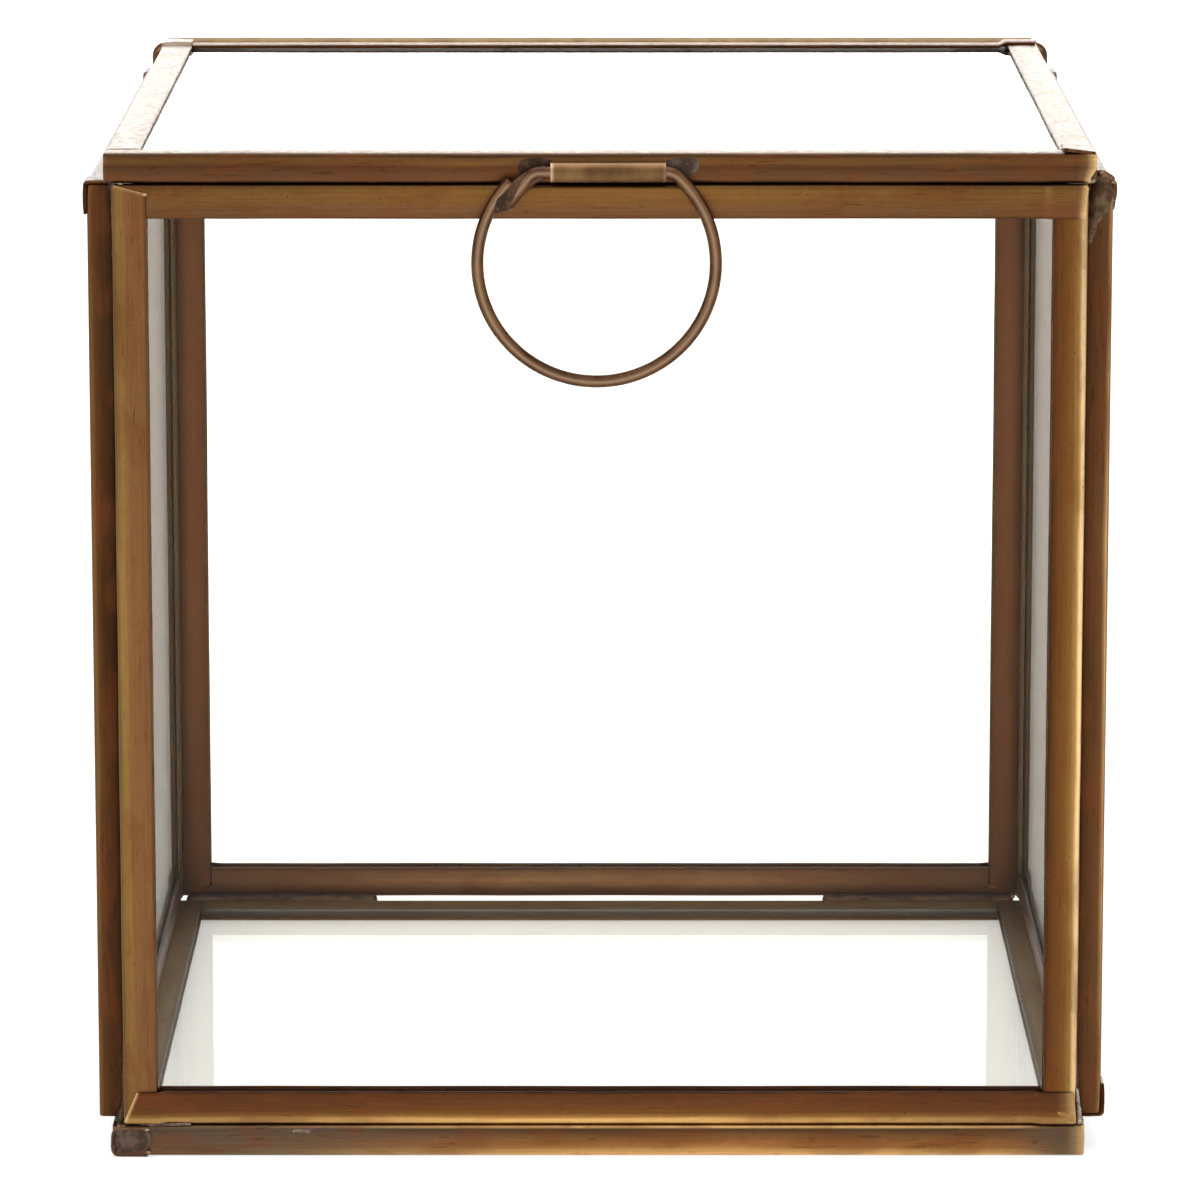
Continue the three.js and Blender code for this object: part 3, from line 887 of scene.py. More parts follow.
@dataclass(frozen=True)
class FoldedChannel:
    """The U of thin sheet that holds a pane. It runs along +X, its legs towards +Y, outwards +Z.

    The stations are distances from a panel's edge at which the sheet's shape is set, on a channel that
    lies on top there and on one that stops short. Between the ends they are a pitch apart. A leg bulges
    by the crown over the middle span of its length, and the web by the belly's share of that. The lips
    stray further than the legs stand off, by the wander.
    """

    sheet: float = 0.38
    leg: float = 4.0
    fold: float = 0.52
    thickness: float = 3.3
    crown: float = 0.07
    crown_span: tuple[float, float] = (0.36, 0.7)
    belly: float = 0.8
    lip: float = 0.13
    lap_film: float = 0.04
    lap_step: float = 4.1
    press_step: float = 3.2
    press_joggle: float = 0.85
    lap_round: float = 0.4
    lap_draw: float = 0.3
    tuck_length: float = 3.0
    trim_length: float = 3.6
    butt_gap: float = 0.15
    clear_folds: float = 1.3
    wave: float = 0.065
    wander: float = 2.4
    wave_length: float = 19.0
    wave_start: float = 6.5
    wave_ease: float = 12.0
    stain_start: float = 0.26
    pitch: float = 2.6
    facets: int = 5
    joggle_steps: int = 6
    upper_stations: tuple[float, ...] = (0.0, 0.08, 0.2, 0.4, 0.8, 1.2, 2.2, 3.2)
    lower_stations: tuple[float, ...] = (0.5, 1.3, 2.6, 3.3, 3.7, 4.1, 5.4)

    def end_stations(self, end: ChannelEnd) -> list[dict[str, float]]:
        """Works out the stations of one end, from the edge of the panel inwards.

        Args:
            end: Which kind of end it is.

        Returns:
            For each station its distance from the edge and what the sheet does there.
        """
        corner = end.corner
        step = (self.sheet + self.lap_film) * MM
        stations = []
        if not end.laps:
            for place in self.lower_stations:
                pressed = 1 - smooth_share((place - self.press_step) / self.press_joggle)
                stations.append({**STILL, "from_end": place, "rise": -step * (1 - corner.lift) * pressed})
            return stations
        shares = [i / self.joggle_steps for i in range(self.joggle_steps + 1)]
        for place in [*self.upper_stations, *[self.lap_step + corner.joggle * share for share in shares]]:
            turn = max(0.0, 1 - place / self.lap_round)
            lift = 1 - smooth_share((place - self.lap_step) / corner.joggle)
            run_out = min(1.0, max(0.0, (self.lap_step - place) / (self.lap_step - self.lap_round)))
            stations.append(
                {
                    "from_end": place,
                    "slant": corner.slant * run_out,
                    "rise": step * corner.lift * lift,
                    "draw": self.lap_draw * MM * (1 - math.sqrt(1 - turn**2)),
                    "butt": 1.0 if place <= self.lap_step else 0.0,
                    # The bright end is a painted highlight as well as rubbing.
                    "worn": corner.wear * max(0.0, 1 - place / corner.wear_length),
                    "tuck": corner.tuck * MM * max(0.0, 1 - place / self.tuck_length),
                    "trim": corner.trim * max(0.0, 1 - place / self.trim_length),
                }
            )
        return stations

    def path(self, length: float, start: ChannelEnd, end: ChannelEnd) -> bpy.types.Mesh:
        """Makes the path that a channel is drawn along.

        Args:
            length: The panel's length along this channel, in millimetres.
            start: The end at the origin.
            end: The far end.

        Returns:
            The path, with what the sheet does at each point.
        """
        near, far = self.end_stations(start), self.end_stations(end)
        first, last = near[-1]["from_end"], length - far[-1]["from_end"]
        count = round((last - first) / self.pitch)
        rows = [(station["from_end"], {**station, "way": 1.0}) for station in near]
        for i in range(1, count):
            place = first + (last - first) * i / count
            rows.append((place, {**STILL, "from_end": min(place, length - place), "way": 1.0}))
        rows += [(length - station["from_end"], {**station, "way": -1.0}) for station in reversed(far)]
        values = {key: [row[key] for _, row in rows] for key in (*STILL, "way")}
        values["from_end"] = [row["from_end"] * MM for _, row in rows]
        places = [place for place, _ in rows]
        inside = [min(x, length - x) - self.wave_start for x in places]
        values["free"] = [smooth_share(place / self.wave_ease) for place in inside]
        clean = [min(x / start.corner.stain, (length - x) / end.corner.stain) for x in places]
        values["middle"] = [smooth_share(share - self.stain_start) for share in clean]
        return path_mesh([Vector((x, 0, 0)) for x in places], **values)

    def tree(self) -> ShapeTree:
        """Builds the tree that draws the U along its path and shapes the ends.

        Returns:
            The tree.
        """
        shape = ShapeTree("folded_channel", CHANNEL_LENGTHS, ("facets",))
        straight_run = shape.keep_place(shape.draw(self.profile(shape)))
        lapped = {"Geometry": straight_run, "Offset": self.lap_offset(shape)}
        shape.close(shape.node("GeometryNodeSetPosition", lapped), self.wave_offset(shape))
        return shape

    def profile(self, shape: ShapeTree) -> bpy.types.Node:
        """Builds the U's outline, with rounded folds and lips and slightly crowned faces.

        Args:
            shape: The tree.

        Returns:
            The node that gives the closed outline.
        """
        known = shape.rows(
            ("half", "MULTIPLY", "thickness", 0.5),
            ("inner", "SUBTRACT", "half", "sheet"),
            ("crowned", "ADD", "half", "crown"),
            ("bend", "SUBTRACT", "fold", "sheet"),
            ("near", "MULTIPLY", "leg", self.crown_span[0]),
            ("far", "MULTIPLY", "leg", self.crown_span[1]),
            ("belly", "MULTIPLY", "crown", -self.belly),
        )
        # Each point of the outline: how far inwards, how far to a side and which, and its rounding.
        outline = (
            ("leg", "half", -1.0, "lip"),
            ("leg", "inner", -1.0, "lip"),
            ("sheet", "inner", -1.0, "bend"),
            ("sheet", "inner", 1.0, "bend"),
            ("leg", "inner", 1.0, "lip"),
            ("leg", "half", 1.0, "lip"),
            ("far", "crowned", 1.0, 0.0),
            ("near", "crowned", 1.0, 0.0),
            (0.0, "half", 1.0, "fold"),
            ("belly", 0.0, 1.0, 0.0),
            (0.0, "half", -1.0, "fold"),
            ("near", "crowned", -1.0, 0.0),
            ("far", "crowned", -1.0, 0.0),
        )
        index = shape.node("GeometryNodeInputIndex")
        places = shape.node("GeometryNodeIndexSwitch", {"Index": index}, data_type="VECTOR")
        radii = shape.node("GeometryNodeIndexSwitch", {"Index": index}, data_type="FLOAT")
        for _ in outline[2:]:
            places.index_switch_items.new()
            radii.index_switch_items.new()
        for i, (inward, outward, way, radius) in enumerate(outline):
            add_rows(
                shape.tree, known, ("sided", "MULTIPLY", outward, way), ("point", "OFFSET", inward, "sided")
            )
            plug(shape.tree, places.inputs[str(i)], known["point"])
            plug(shape.tree, radii.inputs[str(i)], known.get(radius, radius))
        ring = shape.outline(len(outline), places)
        filleted = {"Curve": ring, "Count": shape.inputs["facets"], "Radius": radii, "Limit Radius": True}
        rounded = shape.node("GeometryNodeFilletCurve", filleted, mode="POLY")
        # A path along +X turns its profile by half a turn, so the outline is turned first.
        return shape.node("GeometryNodeTransform", {"Geometry": rounded, "Rotation": (0.0, 0.0, math.pi)})

    def lap_offset(self, shape: ShapeTree) -> bpy.types.Node:
        """Works out how the ends move: lifted and slanted legs, and inner legs cut back.

        Args:
            shape: The tree.

        Returns:
            The node that gives the offset.
        """
        named = {
            name: shape.node("GeometryNodeInputNamedAttribute", {"Name": name}, data_type="FLOAT")
            for name in ("slant", "rise", "draw", "butt", "way", "from_end", "tuck", "trim")
        }
        apart = shape.node("ShaderNodeSeparateXYZ", {0: shape.node("GeometryNodeInputPosition")}).outputs
        return shape.rows(
            ("half", "MULTIPLY", "thickness", 0.5),
            ("flat", "SUBTRACT", "half", "fold"),
            ("flat_below", "MULTIPLY", "flat", -1.0),
            ("inner_flat", "SUBTRACT", "sheet", "half"),
            # The outer leg runs out at its slant.
            ("outer", "GREATER_THAN", "outward", 0.0),
            ("slanted", "MULTIPLY", "slant", "inward"),
            ("slanted", "MULTIPLY", "slanted", "outer"),
            # The inner leg is cut back so that it stops short of its neighbour's.
            ("hidden", "SUBTRACT", 1.0, "outer"),
            ("on_leg", "MAP", "outward", "flat_below", "inner_flat"),
            ("run", "DIVIDE", "from_end", "lap_step"),
            ("left", "REST", 1.0, "run"),
            ("reach", "ADD", "leg", "butt_gap"),
            ("past", "MULTIPLY", "fold", self.clear_folds),
            ("clear", "MAP", "inward", "sheet", "past"),
            ("back", "MULTIPLY", "left", "reach"),
            ("back", "MULTIPLY", "back", "clear"),
            ("back", "MULTIPLY", "back", "on_leg"),
            ("back", "MULTIPLY", "back", "butt"),
            ("both", "MULTIPLY_ADD", "back", "hidden", "slanted"),
            ("foot", "MAP", "outward", 0.0, "flat_below"),
            ("both", "MULTIPLY_ADD", "foot", "tuck", "both"),
            ("along", "MULTIPLY", "both", "way"),
            # The web is drawn in at the very end, and the leg is trimmed.
            ("share", "DIVIDE", "inward", "leg"),
            ("web", "SUBTRACT", 1.0, "share"),
            ("across", "MULTIPLY", "web", "draw"),
            ("cut", "MULTIPLY", "inward", -1.0),
            ("across", "MULTIPLY_ADD", "cut", "trim", "across"),
            # The outer leg climbs on to its neighbour, or is pressed down.
            ("lift", "MAP", "outward", "flat_below", "flat"),
            ("up", "MULTIPLY", "lift", "rise"),
            ("offset", "OFFSET", "along", "across", "up"),
            inward=apart["Y"],
            outward=apart["Z"],
            **named,
        )["offset"]

    def wave_offset(self, shape: ShapeTree) -> bpy.types.Node:
        """Works out the unevenness of hand work: lips that wander and legs that stand off a little.

        Args:
            shape: The tree.

        Returns:
            The node that gives the offset.
        """
        place, free = (
            shape.node("GeometryNodeInputNamedAttribute", {"Name": name}, data_type=kind)
            for name, kind in (("on_channel", "FLOAT_VECTOR"), ("free", "FLOAT"))
        )
        fine = shape.rows(("fine", "DIVIDE", 1.0, "wave_length"))["fine"]
        scaled = shape.node("ShaderNodeVectorMath", {0: place, "Scale": fine}, operation="SCALE")
        drawn = {"Vector": scaled, "W": shape.inputs["Seed"], "Scale": 1.0, "Detail": 1.0}
        noise = shape.node("ShaderNodeTexNoise", drawn, noise_dimensions="4D").outputs["Color"]
        random = shape.node("ShaderNodeSeparateXYZ", {0: noise}).outputs
        apart = shape.node("ShaderNodeSeparateXYZ", {0: place}).outputs
        return shape.rows(
            ("share", "SHARE", "inward", "leg"),
            ("amount", "MULTIPLY", "wave", "free"),
            ("side", "SIGN", "outward"),
            ("stand", "MULTIPLY", "first", "share"),
            ("stand", "MULTIPLY", "stand", "side"),
            ("stand", "MULTIPLY", "stand", "amount"),
            ("wander", "SUBTRACT", "second", 0.5),
            ("wander", "MULTIPLY", "wander", self.wander),
            ("wander", "MULTIPLY", "wander", "amount"),
            ("offset", "OFFSET", 0.0, "wander", "stand"),
            inward=apart["Y"],
            outward=apart["Z"],
            first=random["X"],
            second=random["Y"],
            free=free,
        )["offset"]

    def lengths(self) -> dict[str, float]:
        """Gives the lengths that the tree takes."""
        return {name: getattr(self, name) for name in CHANNEL_LENGTHS}


def wire_tree() -> ShapeTree:
    """Builds the tree that draws round wire along a path, a little uneven, with a highlight painted along its
    front.

    Returns:
        The tree.
    """
    shape = ShapeTree("drawn_wire", ("Diameter", "Uneven", "Uneven Length"), ("Facets",))
    known = shape.rows(
        ("radius", "MULTIPLY", "Diameter", 0.5),
        ("centred", "SUBTRACT", "noise", 0.5),
        ("swing", "MULTIPLY", "centred", "Uneven"),
        noise=shape.noise(),
    )
    round_wire = {"Resolution": known["Facets"], "Radius": known["radius"]}
    circle = shape.node("GeometryNodeCurvePrimitiveCircle", round_wire, mode="RADIUS")
    # A highlight is painted along the side of the wire that faces the front.
    worn = shape.rubbed(shape.draw(circle), facing=(0.0, -1.0, 0.0), share=0.36, edge=0.92)
    swung = {0: shape.node("GeometryNodeInputNormal"), "Scale": known["swing"]}
    shape.close(worn, shape.node("ShaderNodeVectorMath", swung, operation="SCALE"))
    return shape


def rolled_tree() -> ShapeTree:
    """Builds the tree that rolls a strip into a tube with an open seam, along a path, with a highlight
    painted along its upper front.

    Returns:
        The tree.
    """
    shape = ShapeTree("rolled_strip", ("Bore", "Wall", "Seam", "Uneven", "Uneven Length"), ("Points",))
    known = shape.rows(
        ("inside", "MULTIPLY", "Bore", 0.5),
        ("outside", "ADD", "inside", "Wall"),
        ("gap", "DIVIDE", "Wall", "outside"),
        ("start", "ADD", "Seam", "gap"),
        ("sweep", "MULTIPLY_ADD", "gap", -2.0, 2 * math.pi),
        # The points go round the outside and come back round the inside.
        ("double", "MULTIPLY", "Points", 2.0),
        ("last", "SUBTRACT", "double", 1.0),
        ("back", "SUBTRACT", "last", "index"),
        ("step", "MINIMUM", "back", "index"),
        ("spans", "SUBTRACT", "Points", 1.0),
        ("share", "DIVIDE", "step", "spans"),
        ("angle", "MULTIPLY_ADD", "share", "sweep", "start"),
        ("inner", "GREATER_THAN", "index", "back"),
        ("thin", "MULTIPLY", "inner", "Wall"),
        ("radius", "SUBTRACT", "outside", "thin"),
        ("across", "COSINE", "angle"),
        ("up", "SINE", "angle"),
        ("across", "MULTIPLY", "across", "radius"),
        ("up", "MULTIPLY", "up", "radius"),
        ("point", "OFFSET", "across", "up"),
        index=shape.node("GeometryNodeInputIndex"),
    )
    rolled = shape.draw(shape.outline(known["double"], known["point"]))
    # A highlight is painted along the upper front of the tube.
    shape.dent(shape.rubbed(rolled, facing=(0.0, -0.29, 0.957), share=0.22, edge=0.93))
    return shape


def strip_tree() -> ShapeTree:
    """Builds the tree that bends a strip of sheet along a path, standing on its edge.

    Returns:
        The tree.
    """
    shape = ShapeTree("bent_strip", ("Width", "Sheet", "Uneven", "Uneven Length"))
    size = {"Width": shape.inputs["Sheet"], "Height": shape.inputs["Width"]}
    flat = shape.node("GeometryNodeCurvePrimitiveQuadrilateral", size)
    edge = shape.rows(("edge", "MULTIPLY", "Sheet", 0.3))["edge"]
    profile = shape.node("GeometryNodeFilletCurve", {"Curve": flat, "Count": 4, "Radius": edge}, mode="POLY")
    shape.dent(shape.keep_place(shape.draw(profile)))
    return shape


def solder_tree() -> ShapeTree:
    """Builds the tree that fuses molten drops along a path into one uneven lump.

    Returns:
        The tree.
    """
    shape = ShapeTree("set_solder", ("Grain", "Uneven", "Uneven Length"))
    full = shape.node("GeometryNodeInputNamedAttribute", {"Name": "full"}, data_type="FLOAT")
    drops = shape.node("GeometryNodeMeshToPoints", {"Mesh": shape.inputs["Geometry"]})
    poured = {"Points": drops, "Voxel Size": shape.inputs["Grain"], "Radius": full}
    pool = shape.node("GeometryNodePointsToVolume", poured, resolution_mode="VOXEL_SIZE")
    shape.dent(shape.node("GeometryNodeVolumeToMesh", {"Volume": pool}), 2.0)
    return shape


# The sub-assemblies


LIT = "brass_channel_lit"
SHADED = "brass_channel_shaded"


@dataclass(frozen=True)
class BoxSizes:
    """The sizes that place one panel against another, in millimetres."""

    wall_width: float = 113.8
    wall_height: float = 113.1
    corner_lap: float = 0.15
    corner_gap: float = 0.1
    base_overhang: float = 1.0
    base_gap: float = 0.24
    lid_overhang: float = 0.95
    lid_gap: float = 0.3
    lap_rise: float = 0.42
    thickness: float = 3.3
    base_drop: float = 0.34
    base_swell: float = 0.1
    lid_sag: float = 0.14
    # The origin is under the middle of the whole outer size, ring and laps included.
    shift_y: float = 0.965

    @property
    def half(self) -> float:
        """Half the thickness of a panel."""
        return self.thickness / 2

    @property
    def box_width(self) -> float:
        """The box's outer width."""
        return self.wall_width + 2 * self.thickness - 2 * self.corner_lap

    @property
    def box_depth(self) -> float:
        """The box's outer depth."""
        return self.wall_width + 2 * self.thickness + 2 * self.corner_gap

    @property
    def front_face(self) -> float:
        """Y of the front wall's face, before the shift."""
        return -self.box_depth / 2

    @property
    def wall_bottom(self) -> float:
        """Z of the walls' lower edge."""
        return self.lap_rise + self.thickness + self.base_gap

    @property
    def wall_top(self) -> float:
        """Z of the walls' upper edge."""
        return self.wall_bottom + self.wall_height

    @property
    def lid_top(self) -> float:
        """Z of the lid's upper face."""
        return self.wall_top + self.lid_gap + self.thickness

    @property
    def base_side(self) -> float:
        """The base's side."""
        return self.wall_width + 2 * self.base_overhang

    @property
    def lid_side(self) -> float:
        """The lid's side."""
        return self.wall_width + 2 * self.lid_overhang

    def at(self, x: float, y: float, z: float) -> Matrix:
        """Gives the move to a place in millimetres, with the shift to the origin, in metres."""
        return Matrix.Translation(Vector((x, y + self.shift_y, z)) * MM)

    def wall_place(self, turn: float, x: float, y: float) -> Matrix:
        """Stands a panel up with its middle at a place, its outward side turned from -Y by an angle."""
        stood = Matrix.Rotation(turn, 4, "Z") @ Matrix.Rotation(math.pi / 2, 4, "X")
        return self.at(x, y, self.wall_bottom + self.wall_height / 2) @ stood


@dataclass(frozen=True)
class PanelFrame:
    """The four channels round a pane, counter-clockwise from the bottom, seen from outside.

    The corners run counter-clockwise from bottom right.
    """

    name: str
    width: float
    height: float
    place: Matrix
    sides: tuple[str, str, str, str]
    corners: tuple[Corner, Corner, Corner, Corner]
    patinas: tuple[Patina, Patina, Patina, Patina]
    slot: str
    seed: float
    body: str = "box"
    fold: FoldedChannel = FoldedChannel()
    seed_step: float = 3.7

    def build(self, tree: ShapeTree) -> list[bpy.types.Object]:
        """Builds and dresses the four channels.

        Args:
            tree: The channel's tree.

        Returns:
            The pieces.
        """
        x, y = self.width / 2, self.height / 2
        pieces = []
        for i, start_place in enumerate(((-x, -y, 0), (x, -y, 0), (x, y, 0), (-x, y, 0))):
            before, after = self.corners[i - 1], self.corners[i]
            start = ChannelEnd(before.over is Over.STARTING, before)
            end = ChannelEnd(after.over is Over.ENDING, after)
            mesh = tree.grow(
                self.fold.path(self.height if i % 2 else self.width, start, end),
                self.fold.lengths(),
                facets=self.fold.facets,
                Seed=self.seed + i * self.seed_step,
                Material=SheetBrass(self.patinas[i]).material(),
            )
            turned = Matrix.Rotation(i * math.pi / 2, 4, "Z")
            mesh.transform(self.place @ Matrix.Translation(Vector(start_place) * MM) @ turned)
            node = f"{self.name}_{self.sides[i]}"
            pieces.append(show(f"{node}_brass", mesh, self.body, node))
        return pieces


@dataclass
class BoxFrames:
    """The six framed panels: four walls, the base and the lid."""

    sizes: BoxSizes = field(default_factory=BoxSizes)

    def walls(self) -> list[PanelFrame]:
        """Lists the four walls.

        Returns:
            Their frames.
        """
        s = self.sizes
        y = s.box_depth / 2 - s.half
        x = s.box_width / 2 - s.half
        # The bands of each channel are chosen one by one, so a lighter or darker channel partly paints how
        # the light falls on it.
        walls = (
            (
                ("front", 0, 0, -y, "right", "left", LIT),
                (
                    Corner(Over.ENDING, 0.08, wear=0.55, wear_length=1.5),
                    Corner(Over.STARTING, 0.1, wear=0.9, wear_length=0.9),
                    Corner(Over.STARTING, 0.25, wear=0.4, wear_length=0.3),
                    Corner(Over.STARTING, 0.4, wear=0.8, wear_length=0.35),
                ),
                (Patina.COPPERED, Patina.TAWNY, Patina.CHESTNUT, Patina.HONEY),
            ),
            (
                ("back", math.pi, 0, y, "left", "right", SHADED),
                (
                    Corner(Over.ENDING, 0.12),
                    Corner(Over.STARTING, 0.2, wear=0.3),
                    Corner(Over.ENDING, 0.1),
                    Corner(Over.STARTING, 0.25, wear=0.3),
                ),
                (Patina.GREYED, Patina.SMOKED, Patina.CHESTNUT, Patina.SMOKED),
            ),
            (
                ("left", -math.pi / 2, -x, 0, "front", "back", SHADED),
                (
                    Corner(Over.STARTING, 0.15, lift=0.0),
                    Corner(Over.STARTING, 0.1),
                    Corner(Over.ENDING, 0.2, wear=0.3),
                    Corner(Over.STARTING, 0.12),
                ),
                (Patina.UMBER, Patina.UMBER, Patina.CHESTNUT, Patina.OLIVE),
            ),
            (
                ("right", math.pi / 2, x, 0, "back", "front", SHADED),
                (
                    Corner(Over.ENDING, 0.15),
                    Corner(Over.STARTING, 0.12, wear=0.3),
                    Corner(Over.ENDING, 0.35, wear=0.3, trim=0.4),
                    Corner(Over.STARTING, 0.1),
                ),
                (Patina.RUSSET, Patina.OLIVE, Patina.CHESTNUT, Patina.RUSSET),
            ),
        )
        frames = []
        for i, ((name, turn, across, deep, first, last, slot), corners, patinas) in enumerate(walls):
            sides = ("bottom_rail", f"{first}_stile", "top_rail", f"{last}_stile")
            place = s.wall_place(turn, across, deep)
            seed = 1.0 + 20 * i
            frames.append(
                PanelFrame(name, s.wall_width, s.wall_height, place, sides, corners, patinas, slot, seed)
            )
        return frames

    def base(self) -> PanelFrame:
        """Gives the base, whose front edge is in line with the front wall's face.

        Returns:
            Its frame.
        """
        s = self.sizes
        middle = s.lap_rise + s.half + (s.base_swell - s.base_drop) / 2
        return PanelFrame(
            "base",
            s.base_side,
            s.base_side,
            s.at(0, s.front_face + s.base_side / 2, middle) @ Matrix.Rotation(math.pi, 4, "X"),
            ("back_channel", "right_channel", "front_channel", "left_channel"),
            (
                Corner(Over.ENDING, 0.1, lift=0.0),
                Corner(Over.STARTING, 0.12, lift=0.0, wear=0.6, wear_length=1.6, stain=9.0),
                Corner(Over.STARTING, 0.1, lift=0.0, stain=46.0),
                Corner(Over.STARTING, 0.15, lift=0.0),
            ),
            (Patina.OLIVE, Patina.OLIVE, Patina.DULLED, Patina.OLIVE),
            slot=SHADED,
            seed=81.0,
            fold=FoldedChannel(thickness=s.thickness + s.base_drop + s.base_swell),
        )

    def lid(self) -> PanelFrame:
        """Gives the lid, whose front edge is in line with the front wall's face.

        Returns:
            Its frame.
        """
        s = self.sizes
        return PanelFrame(
            "lid",
            s.lid_side,
            s.lid_side,
            s.at(0, s.front_face + s.lid_side / 2, s.lid_top - s.half - s.lid_sag / 2),
            ("front_channel", "right_channel", "back_channel", "left_channel"),
            (
                Corner(Over.ENDING, 0.12, lift=0.0, wear=0.95, wear_length=1.3, tuck=0.7),
                Corner(Over.STARTING, 0.1),
                Corner(Over.STARTING, 0.2),
                Corner(Over.STARTING, 0.1, lift=0.0),
            ),
            (Patina.WALNUT, Patina.BUFFED, Patina.CHESTNUT, Patina.BUFFED),
            slot=LIT,
            seed=101.0,
            body="lid",
            fold=FoldedChannel(thickness=s.thickness + s.lid_sag),
        )

    def build(self) -> list[bpy.types.Object]:
        """Builds every channel of the box and lid."""
        tree = FoldedChannel().tree()
        return [piece for panel in [*self.walls(), self.base(), self.lid()] for piece in panel.build(tree)]


@dataclass
class Panes:
    """The six panes, whose CAD shapes are kept."""

    standing: tuple[str, ...] = ("front", "back", "left", "right")
    lying: tuple[str, ...] = ("base", "lid")

    def dress(self) -> list[bpy.types.Object]:
        """Gives each pane its glass.

        Returns:
            The panes.
        """
        clear = FloatGlass().material()
        mirroring = FloatGlass("polished_lying_glass", ior=1.52, tint="fdfdfc").material()
        pieces = []
        for names, glass in ((self.standing, clear), (self.lying, mirroring)):
            for name in names:
                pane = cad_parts[f"{name}_glass"]
                pane.data.materials.clear()
                pane.data.materials.append(glass)
                pieces.append(pane)
        LOG.info("%d panes dressed", len(pieces))
        return pieces


Drop = tuple[float, float, float, float]


@dataclass(frozen=True)
class SolderLump:
    """One lump of solder, poured as drops of a place and a radius in millimetres.

    The places are counted from the start. The flatness along each axis spreads the lump over what it
    sticks to.
    """

    name: str
    seed: float
    start: tuple[float, float, float]
    drops: tuple[Drop, ...]
    node: str = ""
    body: str = "box"
    flatness: tuple[float, float, float] = (1.0, 1.0, 1.0)
    lump: float = 0.35
    lump_size: float = 1.1
    grain: float = 0.13
    step: float = 0.22
    finish: Finish = SoftSolder()
    sharp_deg: float = 60.0

    def poured(self) -> list[Drop]:
        """Fills in drops between the given ones, close enough to fuse.

        Returns:
            All the drops, in place.
        """
        x, y, z = self.start
        drops = [(x + across, y + back, z + up, full) for across, back, up, full in self.drops]
        filled = []
        for first, last in zip(drops, drops[1:]):
            count = max(1, math.ceil(math.dist(first[:3], last[:3]) / self.step))
            for i in range(count):
                filled.append(tuple(a + (b - a) * i / count for a, b in zip(first, last)))
        return [*filled, drops[-1]]

    def build(self, tree: ShapeTree, place: Matrix) -> bpy.types.Object:
        """Builds the lump.

        Args:
            tree: The tree for solder.
            place: The frame that its drops are given in.

        Returns:
            The piece.
        """
        drops = self.poured()
        spread = [Vector([drop[i] / self.flatness[i] for i in range(3)]) for drop in drops]
        lengths = {"Grain": self.grain, "Uneven": self.lump, "Uneven Length": self.lump_size}
        path = path_mesh(spread, full=[drop[3] * MM for drop in drops])
        mesh = tree.grow(path, lengths, Seed=self.seed, Material=self.finish.material())
        mesh.transform(place @ Matrix.Diagonal((*self.flatness, 1.0)))
        return show(self.name, mesh, self.body, self.node, self.sharp_deg)


